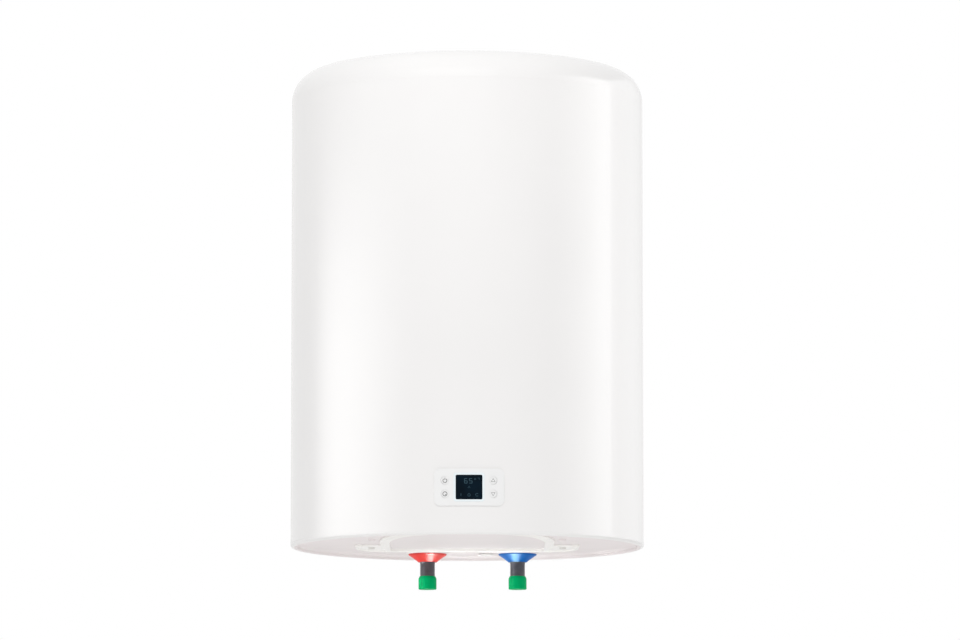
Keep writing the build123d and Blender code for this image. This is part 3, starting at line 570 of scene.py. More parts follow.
class HeaterFinishes(PropertyGroup):
    """Colours of the heater"""

    enamel: colour("Enamel", "Colour of the steel casing", (0.905, 0.895, 0.89))
    # The bottom cap's floor and rim are one moulding: the floor's darker, pinker colour is painted shade of the
    # underside.
    cap: colour("Cap", "Colour of the bottom cap's textured floor", (0.87, 0.82, 0.82))
    rim: colour("Rim", "Colour of the bottom cap's polished rim", (0.9, 0.89, 0.885))
    # The cover's floor is the same moulding as its raised parts: the floor's darker, pinker colour is painted shade of
    # its recess.
    cover: colour("Cover", "Colour of the service cover's raised parts", (0.96, 0.945, 0.92))
    cover_floor: colour("Cover floor", "Colour of the service cover's textured floor", (0.875, 0.83, 0.83))
    panel: colour("Panel", "Colour of the control panel", (0.9, 0.9, 0.9))
    trim: colour("Trim", "Colour of the display's frame", (0.87, 0.94, 0.97))
    key: colour("Keys", "Colour of the four buttons", (0.88, 0.88, 0.88))
    mark: colour("Marks", "Colour of the printed marks", (0.27, 0.27, 0.27))
    screen: colour("Screen", "Colour of the dark display", (0.0006, 0.0085, 0.018))
    digits: colour("Digits", "Colour of the lit marks", (0.04, 0.085, 0.115))
    hot: colour("Hot", "Colour of the hot pipe's rosette", (0.93, 0.06, 0.05))
    cold: colour("Cold", "Colour of the cold pipe's rosette", (0.0, 0.13, 0.52))
    thread_cap: colour("Thread caps", "Colour of the thread caps", (0.0, 0.42, 0.14))
    pipe: colour("Pipes", "Colour of the pipes' steel", (0.135, 0.135, 0.15))


class HeaterCasing(PropertyGroup):
    """Sizes of the casing and its caps"""

    sheet: length("Sheet", "Thickness of the casing's sheet", 0.8)
    shoulder: length("Shoulder", "Radius of the top's shoulder", 33)
    crown: length("Crown", "How far the top's middle rises above its shoulder", 2)
    wall: length("Cap wall", "Wall of the moulded caps", 2.5)
    spigot: length("Spigot", "How far the top cap reaches into the wrap", 12)
    skirt: length("Skirt", "Height of the bottom cap's spigot above the rim", 16)
    slip: length("Slip", "Gap between a spigot and the wrap", 0.1)
    recess: length("Recess", "How far the underside is set in", 5)
    rim: length("Rim", "Width of the bottom rim", 7)
    rim_slope: length("Rim slope", "How far the rim's inner wall leans", 1)
    rim_edge: length("Rim edge", "Radius of the rim's outer edge", 3)
    pad: length("Pad", "Radius of the pads that the pipes pass", 23)
    pad_drop: length("Pad height", "How far the pads stand down", 3.4)
    boss: length("Boss", "Radius of the two small bosses beside the cover", 3.5)
    boss_drop: length("Boss height", "How far the bosses stand down", 2.2)
    boss_x: length("Boss place", "The bosses' distance from the middle", 103)
    boss_forward: length("Boss forward", "How far the bosses lie forward of the axis", 60)
    cable_bore: length("Cable bore", "Radius of the cable grommet's bore", 3.5)
    cable_neck: length("Cable neck", "Radius of the cable grommet's neck, which the floor holds", 6.4)
    seam: length("Seam", "Width of the lock seam", 10)
    seam_proud: length("Seam height", "How far the lock seam stands out", 1.2)
    segments: IntProperty(name="Segments", description="Segments round the casing", default=256, min=32)


class HeaterCover(PropertyGroup):
    """Sizes of the service cover under the heater"""

    half: length("Half width", "Half the D's width", 90)
    front: length("Front", "How far the D's nose lies forward of the axis", 175)
    back: length("Back", "How far the D reaches behind the axis", 82)
    straight: length("Straight", "Where the straight sides end, forward of the axis", 35)
    nose: length("Nose", "Radius of the D's nose", 80)
    corner: length("Corner", "Radius of the back corners", 14)
    plate: length("Plate", "Thickness of the flat border and the web", 1.8)
    flare: length("Flare", "How far the wall leans out", 5)
    flare_back: length("Back flare", "How far the wall leans out at the back", 2.5)
    drop: length("Drop", "How far the wall stands down from the underside", 3.3)
    gap: length("Gap", "Gap between the border and the underside", 0.2)
    lip: length("Wall", "Width of the wall's foot", 5.6)
    lap: length("Lap", "How far the floor's edge lies inside the D", 4)
    ear: length("Ear", "Half the back strip's width", 120)
    ear_over: length("Ear edge", "How far the strip's plate passes that", 2.5)
    ear_front: length("Ear end", "Where the ears end, behind the axis", 12)
    ear_round: length("Ear bend", "Radius of the ears' bend", 34)
    rib: length("Rib", "Width of the strip's rib", 3)
    knob: length("Knob", "Radius of the knobs", 4.5)
    screw: length("Screw", "Radius of a screw's head", 3.8)
    screw_head: length("Screw head", "Height of a screw's head", 1.8)


class HeaterPipes(PropertyGroup):
    """Sizes of the pipes, their rosettes and thread caps"""

    radius: length("Pipe", "Radius of the pipe", 8.33)
    bore: length("Bore", "Radius of the pipe's bore", 6)
    shank: length("Shank", "Radius of the pipe above its thread", 8)
    collar: length("Collar", "Radius of the weld collar", 12)
    collar_low: length("Collar height", "The collar's foot above the rim", 60)
    collar_h: length("Collar length", "Length of the collar", 24)
    pitch: length("Pitch", "Pitch of the pipe's thread", 1.34)
    depth: length("Thread", "Depth of the thread", 0.35)
    play: length("Play", "Gap between the pipe and its rosette", 0.2)
    rosette: length("Rosette", "Radius of a rosette", 21.2)
    neck: length("Neck", "Radius of a rosette's neck", 11.4)
    edge: length("Edge", "Rounding of the rosette's neck", 1.0)
    wall: length("Rosette wall", "Wall of a rosette", 1.5)
    brim: length("Brim", "Height of the rosette's upright brim", 1.0)
    hollow: length("Hollow", "How far a rosette's flank is hollowed", 0.25)
    cap: length("Thread cap", "Radius of a thread cap", 10)
    cap_floor: length("Cap floor", "Thickness of a thread cap's floor", 2.8)
    cap_shoulder: length("Cap shoulder", "How far a thread cap's shoulder draws in", 1.3)


class HeaterPanel(PropertyGroup):
    """Sizes of the control panel"""

    edge: length("Edge", "Rounding of the plate's edge", 0.25)
    corner: length("Corner", "Radius of the plate's corners", 6)
    window_corner: length("Window corner", "Radius of the window's corners", 1.5)
    trim_corner: length("Trim corner", "Radius of the display frame's corners", 2.6)
    play: length("Play", "Gap round the window", 0.15)
    key_radius: length("Key", "Radius of a button", 4.1)
    key_gap: length("Key gap", "Gap round a button", 0.06)
    key_proud: length("Key height", "How far a button stands out of the plate", 0.7)
    key_edge: length("Key edge", "Rounding of a button's edge", 0.35)
    flange: length("Flange", "Radius of a button's flange", 4.9)
    flange_t: length("Flange height", "Thickness of a button's flange", 1.0)
    line: length("Line", "Width of a printed line", 0.85)
    ink: length("Ink", "Thickness of a printed line", 0.02)
    value: StringProperty(name="Reading", description="Figures on the display", default="65")


class HeaterStage(PropertyGroup):
    """The camera, the lamps and the floor"""

    distance: metres("Distance", "Camera to the axis", 6.5)
    drop: metres("Drop", "Camera below the rim", 0.505)
    pitch: angle("Pitch", "Look upwards", 6.633)
    yaw: angle("Yaw", "Look to the right", 0.124)
    lens: FloatProperty(name="Lens", description="Focal length of the camera", default=223.54, unit="CAMERA")
    floor: metres("Floor", "Floor below the rim", 1.35)
    ambient: FloatProperty(name="Ambient", description="Strength of the light from all round", default=0.765)
    front: power("Front", "The lamp above the front", 4.4)
    left: power("Left strip", "The upright lamp at the left", 44.0)
    right: power("Right strip", "The upright lamp at the right", 33.0)
    limb: power("Right side", "The wide lamp behind the right", 17.0)
    under: power("Under", "The lamp below the front", 4.3)
    glint: power("Glint", "The small lamp below the pipes", 0.62)
    side: power("Side", "The small lamp left of the pipes", 0.011)


def enamel_finish(own):
    """Stoved enamel on sheet steel: a hard gloss coat with a slight orange peel, dusty where it faces up."""
    made = Finish("casing_enamel", own.enamel, 0.24, Coat_Weight=0.25, Coat_Roughness=0.08)
    return made.tint(0.985, 9.0).dust((0.7, 0.69, 0.67), 70.0, 0.12).skin(260.0, 0.006 * MM, 0.03)


def cap_finish(own):
    """Moulded cap plastic with the fine grain of an eroded tool, in a darker, pinker tone than the rim's: painted
    shade of the underside.
    """
    made = Finish("cap_plastic", own.cap, 0.5, Specular_IOR_Level=0.06)
    return made.tint(0.97, 14.0).skin(900.0, 0.008 * MM, 0.06)


def rim_finish(own):
    """The same plastic where its tool is polished, in the paler tone beside the floor's painted shade."""
    return Finish("rim_plastic", own.rim, 0.3).tint(0.985, 14.0).skin(700.0, 0.004 * MM, 0.04)


def cover_finish(own):
    """Cream cover plastic, with slight flow marks and paler edges, in the paler tone beside the floor's painted shade.
    """
    made = Finish("cover_plastic", own.cover, 0.36, Specular_IOR_Level=0.2)
    return made.tint(0.975, 22.0).wear(1.08, 90.0, 0.5).skin(1100.0, 0.005 * MM, 0.06)


def cover_floor_finish(own):
    """The cover's floor, grained by an eroded tool, in a darker, pinker copy of the cover's colour: painted shade of
    its recess.
    """
    made = Finish("cover_floor_plastic", own.cover_floor, 0.55, Specular_IOR_Level=0.15)
    return made.tint(0.975, 18.0).skin(900.0, 0.008 * MM, 0.06)


def panel_finish(own):
    """Panel plastic, close to the casing's white."""
    return Finish("panel_plastic", own.panel, 0.3).tint(0.985, 40.0).skin(1500.0, 0.003 * MM, 0.04)


def trim_finish(own):
    """The display's pale frame, slightly blue and glossier than the panel."""
    return Finish("trim_plastic", own.trim, 0.18).tint(0.985, 90.0).skin(1500.0, 0.002 * MM, 0.04)


def key_finish(own):
    """Button plastic with a finely etched face, and paler rounded edges that are a painted sheen."""
    made = Finish("button_plastic", own.key, 0.36)
    # The paler edges are a painted sheen.
    return made.tint(0.975, 160.0).wear(1.06, 300.0, 0.5).skin(3200.0, 0.006 * MM, 0.05)


def mark_finish(own):
    """Grey ink of the printed marks, a little uneven as pad printing is."""
    return Finish("printed_mark", own.mark, 0.5).tint(0.8, 900.0).skin(4000.0, 0.004 * MM, 0.06)


def screen_finish(own):
    """Smoked display window: nearly black and smooth, with a faint bloom of the light behind it."""
    made = Finish("display_dark", own.screen, 0.12, Specular_IOR_Level=0.06)
    return made.tint(0.55, 55.0).skin(500.0, 0.0004 * MM, 0.03)


def digit_finish(own):
    """Dim lit segments behind the smoked window."""
    made = Finish("display_segments", own.digits, 0.4, Specular_IOR_Level=0.1)
    return made.tint(0.7, 700.0).skin(2500.0, 0.001 * MM, 0.05)


def rosette_finish(name, own_colour, gloss):
    """Glossy moulded rosette plastic, slightly clouded, with gloss of its own colour, and painted shade that darkens
    its brim and neck edges.
    """
    made = Finish(name, own_colour, 0.33, Specular_IOR_Level=0.12, Specular_Tint=gloss)
    # The edge colour is painted shade: the brim and the neck's edge go far darker.
    return made.tint(0.86, 60.0).wear(0.35, 90.0, 1.7).skin(1300.0, 0.004 * MM, 0.05)


def hot_finish(own):
    """The hot pipe's rosette and the cut-out's button."""
    return rosette_finish("red_plastic", own.hot, (1.0, 0.9, 0.85, 1.0))


def cold_finish(own):
    """The cold pipe's rosette."""
    return rosette_finish("blue_plastic", own.cold, (0.35, 0.85, 1.0, 1.0))


def green_finish(own):
    """Soft polyethylene of the thread caps, satin and slightly waxy."""
    made = Finish("green_plastic", own.thread_cap, 0.42, Specular_IOR_Level=0.03)
    return made.tint(0.85, 90.0).wear(1.2, 300.0, 0.5).skin(1600.0, 0.01 * MM, 0.07)


def pipe_finish(own):
    """Dark drawn steel, with turning marks round the pipe and brighter crests."""
    made = Finish("pipe_steel", own.pipe, 0.42, 0.8).tint(0.75, 120.0).wear(1.4, 300.0, 0.6)
    return made.stretch((1.0, 1.0, 9.0)).skin(420.0, 0.02 * MM, 0.1, 0.6)


def zinc_finish(own):
    """Bright zinc plating with its faint crystalline cloud."""
    return Finish("zinc_steel", (0.62, 0.63, 0.65), 0.34, 1.0).tint(0.8, 220.0).skin(900.0, 0.006 * MM, 0.09)


def screw_finish(own):
    """Pale passivated zinc of the cover's screws, duller than the plating inside."""
    return Finish("pale_zinc", (0.8, 0.78, 0.75), 0.5, 0.2).tint(0.9, 400.0).skin(1500.0, 0.004 * MM, 0.08)


def bracket_finish(own):
    """Powder coat on the hanging bracket: matte white with a coarse peel and dust on its top."""
    made = Finish("bracket_paint", (0.74, 0.74, 0.73), 0.46).tint(0.94, 30.0).wear(0.7, 60.0, 0.5)
    return made.dust((0.6, 0.58, 0.55), 110.0, 0.25).skin(650.0, 0.02 * MM, 0.07)


def rubber_finish(name, own_colour):
    """Moulded rubber: matte with a fine grain and a pale bloom."""
    return Finish(name, own_colour, 0.72).tint(0.7, 130.0).skin(2200.0, 0.02 * MM, 0.08)


def pale_rubber_finish(own):
    """Off-white rubber of the grommet, close to the cap's tone."""
    return rubber_finish("pale_rubber", (0.74, 0.71, 0.7))


def black_rubber_finish(own):
    """Rubber of the gasket."""
    return rubber_finish("black_rubber", (0.03, 0.03, 0.032))


def grey_rubber_finish(own):
    """Rubber of the wall buffers."""
    return rubber_finish("grey_rubber", (0.27, 0.27, 0.28))


def tank_finish(own):
    """Dark vitreous enamel on the tank, glossy over a pebbled skin."""
    return Finish("tank_enamel", (0.012, 0.018, 0.05), 0.16).tint(0.6, 45.0).skin(330.0, 0.03 * MM, 0.05)


def foam_finish(own):
    """Poured insulation foam: straw yellow, with an open cell skin."""
    return Finish("foam", (0.78, 0.66, 0.36), 0.9).tint(0.82, 38.0).skin(850.0, 0.25 * MM, 0.06, 0.8)


def copper_finish(own):
    """Drawn copper sheath, dulled in patches."""
    made = Finish("copper", (0.62, 0.27, 0.15), 0.34, 1.0).tint(0.62, 70.0)
    return made.stretch((1.0, 1.0, 0.15)).skin(1200.0, 0.006 * MM, 0.1)


def brass_finish(own):
    """Turned brass."""
    made = Finish("brass", (0.7, 0.5, 0.2), 0.26, 1.0).tint(0.8, 120.0)
    return made.stretch((1.0, 1.0, 8.0)).skin(700.0, 0.006 * MM, 0.07)


def magnesium_finish(own):
    """Cast magnesium rod: grey, dull and slightly pitted."""
    made = Finish("magnesium", (0.42, 0.43, 0.44), 0.6, 0.7)
    return made.tint(0.75, 150.0).skin(1100.0, 0.05 * MM, 0.1, 0.7)


def stainless_finish(own):
    """Drawn stainless steel."""
    made = Finish("stainless", (0.56, 0.56, 0.57), 0.28, 1.0).tint(0.85, 90.0)
    return made.stretch((1.0, 1.0, 0.1)).skin(1400.0, 0.004 * MM, 0.08)


def board_finish(own):
    """Green solder mask over the copper tracks' faint relief."""
    return Finish("board_green", (0.015, 0.12, 0.05), 0.3).tint(0.55, 320.0).skin(900.0, 0.02 * MM, 0.08)


def black_finish(own):
    """Black moulding of switches, relay and cut-out."""
    return Finish("black_plastic", (0.018, 0.018, 0.02), 0.45).tint(0.6, 160.0).skin(2600.0, 0.01 * MM, 0.08)


def block_finish(own):
    """Off-white moulding of the terminal block, the board's tray and the diffuser."""
    return Finish("block_plastic", (0.68, 0.68, 0.62), 0.42).tint(0.9, 120.0).skin(2000.0, 0.008 * MM, 0.07)


def body_profile(corners, radii, closed=True, hold=0.3):
    """A rounded profile of (radius, height above the rim), lifted to its height in the frame."""
    line = rounded(corners, radii, closed, hold=hold)
    line[:, 1] += RIM_Z
    return line


class HEATER_OT_casing(Operator):
    """Makes the casing's wrap with its lock seam, and the rounded top cap"""

    bl_idname = "heater.casing"
    bl_label = "Casing"

    def execute(self, context):
        size = context.scene.heater_casing
        enamel = finish("enamel")
        piece("casing_shell", [self.wrap(size), self.seam(size)], enamel, "casing_enamel", ["casing_wrap"])
        piece("top_cap_shell", [self.top(size)], enamel, "cap_plastic", ["top_cap"])
        return {"FINISHED"}

    def wrap(self, size):
        """Rolled sheet: two round skins on one grid of angle and height, without the quads of its openings,
        whose edges are bridged."""
        panel_low, panel_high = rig.box("panel_housing")
        leg_low, leg_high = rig.box("bracket_legs")
        room, leg_w, edge = 1.0 * MM, 30 * MM, 1.0 * MM
        front, back = -1, 1
        openings = [
            (panel_low.x - edge, panel_high.x + edge, panel_low.z - edge, panel_high.z + edge, front),
            (leg_low.x - room, leg_low.x + leg_w + room, leg_low.z - room, leg_high.z + room, back),
            (leg_high.x - leg_w - room, leg_high.x + room, leg_low.z - room, leg_high.z + room, back),
        ]
        angles = [np.linspace(-math.pi, math.pi, size.segments, endpoint=False)]
        margin = np.array([0, edge])
        heights = [WRAP_LOW.z + margin, WRAP_HIGH.z - margin, np.linspace(WRAP_LOW.z, WRAP_HIGH.z, 14)]
        for low, high, base, top, way in openings:
            across = np.arcsin(np.array([low, high]) / BODY_R)
            around = across if way == front else math.pi - across
            angles.append(np.where(around > math.pi, around - 2 * math.pi, around))
            heights.append(np.array([base, top]))
        a, z = np.unique(np.concatenate(angles)), np.unique(np.concatenate(heights))
        skins = []
        for radius in (BODY_R, BODY_R - size.sheet):
            x, y = radius * np.sin(a), AXIS_Y - radius * np.cos(a)
            skins.append(np.stack(np.broadcast_arrays(x[:, None], y[:, None], z[None, :]), axis=-1))
        middle = a + np.diff(np.append(a, a[0] + 2 * math.pi)) / 2
        x, z = BODY_R * np.sin(middle)[:, None], ((z[1:] + z[:-1]) / 2)[None, :]
        side = -np.sign(np.cos(middle))[:, None]
        skip = np.zeros((len(a), z.shape[1]), bool)
        for low, high, base, top, way in openings:
            skip |= (x > low) & (x < high) & (z > base) & (z < top) & (side == way)
        return self.shell(skins, skip)

    def shell(self, skins, skip):
        """Both skins as one closed sheet: each edge of the outer skin that only one quad has is bridged to
        the same points of the inner skin."""
        nu, nv = skins[0].shape[:2]
        count = nu * nv
        u, v = np.nonzero(~skip)
        un = (u + 1) % nu
        outer = np.stack([u * nv + v, un * nv + v, un * nv + v + 1, u * nv + v + 1], axis=-1)
        edges = np.concatenate([outer[:, [i, (i + 1) % 4]] for i in range(4)])
        key = np.sort(edges, axis=1)
        _, first, times = np.unique(key[:, 0] * count + key[:, 1], return_index=True, return_counts=True)
        rim = edges[first[times == 1]]
        walls = np.stack([rim[:, 1], rim[:, 0], rim[:, 0] + count, rim[:, 1] + count], axis=-1)
        mesh = bpy.data.meshes.new("shell")
        points = np.concatenate([skin.reshape(-1, 3) for skin in skins])
        mesh.from_pydata(points.tolist(), [], np.concatenate([outer, outer[:, ::-1] + count, walls]).tolist())
        work = bmesh.new()
        work.from_mesh(mesh)
        bmesh.ops.delete(work, geom=[vert for vert in work.verts if not vert.link_faces], context="VERTS")
        work.to_mesh(mesh)
        work.free()
        return mesh

    def seam(self, size):
        """The lock seam down the back: a flat fold with rounded sides and the lip of its last turn."""
        half, proud = size.seam / 2, size.seam_proud
        back = AXIS_Y + BODY_R
        hidden, face, lip = back - 2 * proud, back + proud, back + proud * 0.62
        lip_start, short = half * 0.35, 0.3 * MM
        corners = [(-half, hidden), (-half, face), (lip_start, face), (lip_start, lip)]
        corners += [(half, lip), (half, hidden)]
        line = rounded(corners, [0, proud * 0.5, proud * 0.15, proud * 0.1, proud * 0.4, 0])
        z = np.array([WRAP_LOW.z + short, WRAP_HIGH.z - short])
        points = np.stack(np.broadcast_arrays(line[:, None, 0], line[:, None, 1], z[None, :]), axis=-1)
        return surface(points, wrap_u=True, fill=True)

    def top(self, size):
        """A turned shell: a crown arc that runs into the shoulder arc, a wall, and a spigot in the wrap."""
        depth = size.shoulder + size.crown
        base = TOP_HIGH.z - depth
        seat = WRAP_HIGH.z + HAIR
        outer = self.dish(BODY_R, base, depth, size.shoulder)
        inner = self.dish(BODY_R - size.wall, base, depth - size.wall, size.shoulder - size.wall)
        spigot_r = BODY_R - size.sheet - size.slip
        foot = [
            (BODY_R, seat + 2 * HAIR),
            (BODY_R - 2 * HAIR, seat),
            (spigot_r, seat),
            (spigot_r, base - size.spigot),
            (spigot_r - size.wall, base - size.spigot),
            (spigot_r - size.wall, base),
        ]
        return turned(np.vstack([outer[::-1], foot, inner]), (0, AXIS_Y), size.segments, on_axis=True)

    def dish(self, radius, base, depth, knuckle):
        """Half of a domed top from its wall to its middle: the knuckle arc leans until it meets the crown."""
        rise = depth - knuckle
        apart = ((radius - knuckle) ** 2 + rise**2) / (2 * rise)
        lean = math.degrees(math.acos((radius - knuckle) / apart))
        turn = arc_points((radius - knuckle, base), knuckle, 0, lean, 28)
        crown = arc_points((0, base + rise - apart), apart + knuckle, lean, 90 - lean, 24)
        return np.vstack([turn, crown[1:]])


class HEATER_OT_underside(Operator):
    """Makes the recessed bottom cap with its rim, pads and bosses, and the cable grommet"""

    bl_idname = "heater.underside"
    bl_label = "Underside"

    def execute(self, context):
        size = context.scene.heater_casing
        pipes = context.scene.heater_pipes
        rim, slope = self.rim(size)
        # The rim and the floor are one moulding in two colours: the floor's darker, pinker one is painted shade.
        piece("bottom_cap_rim", [rim], finish("rim"), "cap_plastic", ["bottom_cap"])
        bosses = [Vector((side * size.boss_x, AXIS_Y - size.boss_forward)) for side in (-1, 1)]
        pad_play = pipes.play + 0.07 * MM
        meshes = [self.floor(size), slope]
        for place in PIPES.values():
            meshes.append(self.disc(size, place, pipes.radius + pad_play, size.pad, size.pad_drop))
        meshes += [self.disc(size, place, 0, size.boss, size.boss_drop) for place in bosses]
        piece("bottom_cap_floor", meshes, finish("cap"), "cap_plastic")
        self.grommet(size)
        return {"FINISHED"}

    def rim(self, size):
        """The turned rim as two rings that meet in its foot: the polished outer edge with its spigot, and the
        grained slope that leads down to the floor."""
        spigot_r = BODY_R - size.sheet - size.slip
        inside_r = spigot_r - size.wall
        foot_r = BODY_R - size.rim
        floor_r = foot_r - size.rim_slope
        shelf, meet, turn = 6 * MM, size.rim_edge * 1.2, size.rim_edge * 0.96
        shelf_r = floor_r - shelf
        meet_r = BODY_R - meet
        seat = WRAP_LOW.z - RIM_Z - HAIR
        top = size.recess + size.wall
        edge = [(meet_r, 0), (BODY_R, 0), (BODY_R, seat), (spigot_r, seat), (spigot_r, size.skirt)]
        edge += [(inside_r, size.skirt), (inside_r, top), (meet_r - size.wall, top)]
        edge_radii = np.array([0, turn, 0, 0, 0.5 * MM, 0.5 * MM, 0, 0])
        slope = [(shelf_r, size.recess), (floor_r, size.recess), (foot_r, 0)]
        slope += [(meet_r - HAIR, 0), (shelf_r, top)]
        slope_radii = np.array([0, 0.8, 1.0, 0, 0]) * MM
        rings = (body_profile(edge, edge_radii, hold=0.02), body_profile(slope, slope_radii))
        return [turned(ring, (0, AXIS_Y), size.segments) for ring in rings]

    def floor(self, size):
        """The level floor inside the rim, holed for the service cover, the pipes and the cable."""
        lap, soft = 3 * MM, 0.3 * MM
        cover = bpy.context.scene.heater_cover
        pipes = bpy.context.scene.heater_pipes
        low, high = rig.box("cable_grommet")
        holes = [cover_path(cover, cover.gap - cover.lap)]
        holes += [circle((p.x, p.y), pipes.radius + pipes.play, 36) for p in PIPES.values()]
        cable = ((low.x + high.x) / 2, (low.y + high.y) / 2)
        holes.append(circle(cable, size.cable_neck + size.slip, 30))
        base = RIM_Z + size.recess + HAIR
        outline = circle((0, AXIS_Y), BODY_R - size.rim - lap, 180)
        return holed_plate(outline, holes, base, base + size.wall - 2 * HAIR, soft)

    def disc(self, size, place, bore, radius, drop):
        """A turned pad or boss under the floor, with a rounded edge."""
        face, top = size.recess - drop, size.recess + 0.4 * MM
        root = radius + 0.3 * MM
        corners = [(bore, face), (radius, face), (root, size.recess), (root, top), (bore, top)]
        profile = body_profile(corners, [0.3 * MM if bore else 0, 0.7 * MM, 0, 0, 0])
        return turned(profile, (place.x, place.y), 64, on_axis=not bore)

    def grommet(self, size):
        """The rubber grommet: two flanges, a groove for the floor and an opening with a rolled lip."""
        low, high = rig.box("cable_grommet")
        base, top = low.z - RIM_Z, high.z - RIM_Z
        outer = (high.x - low.x) / 2
        bore, neck, inside = size.cable_bore, size.cable_neck, size.recess + size.wall
        lip, lean = 2 * MM, 0.8 * MM
        corners = [(bore, base), (bore + lip, base), (outer, base + lean), (outer, size.recess)]
        corners += [(neck, size.recess), (neck, inside), (outer, inside), (outer, top), (bore, top)]
        profile = body_profile(corners, np.array([0.7, 0.6, 0.3, 0.2, 0, 0, 0.3, 0.5, 0.3]) * MM)
        mesh = turned(profile, ((low.x + high.x) / 2, (low.y + high.y) / 2), 48)
        piece("entry_grommet", [mesh], finish("pale_rubber"), "grey_rubber", ["cable_grommet"])


def cover_path(size, offset=0.0):
    """The service cover's D as a level path, clockwise from above: a nose arc, two flank arcs, straight sides
    and two corner arcs. An offset moves every side out and lengthens every radius by as much, but moves the
    back, next to the pipes, out by less."""
    half, nose_r = size.half + offset, size.nose + offset
    nose = size.front - size.nose
    rise = nose - size.straight
    flank_r = (half**2 + rise**2 - nose_r**2) / (2 * (half - nose_r))
    centre = half - flank_r
    turn = math.degrees(math.acos(-centre / math.hypot(centre, rise)))
    corner = max(size.corner + offset, 1.0 * MM)
    back = size.back + offset * (size.flare_back / size.flare if offset > 0 else 1)
    right = arc_points((centre, -size.straight), flank_r, -turn, turn, 24)
    right_back = arc_points((half - corner, back - corner), corner, 0, 90, 10)
    left_back = arc_points((-half + corner, back - corner), corner, 90, 90, 10)
    left = arc_points((-centre, -size.straight), flank_r, 180, turn, 24)
    front = arc_points((0, -nose), nose_r, 180 + turn, 180 - 2 * turn, 40)
    sides = [np.array([[x, y] for y in (0.3 * back, 0.6 * back)]) for x in (half, -half)]
    path = np.vstack([right, sides[0], right_back, left_back, sides[1][::-1], left, front[1:-1]])
    return path[::-1] + (0, AXIS_Y)


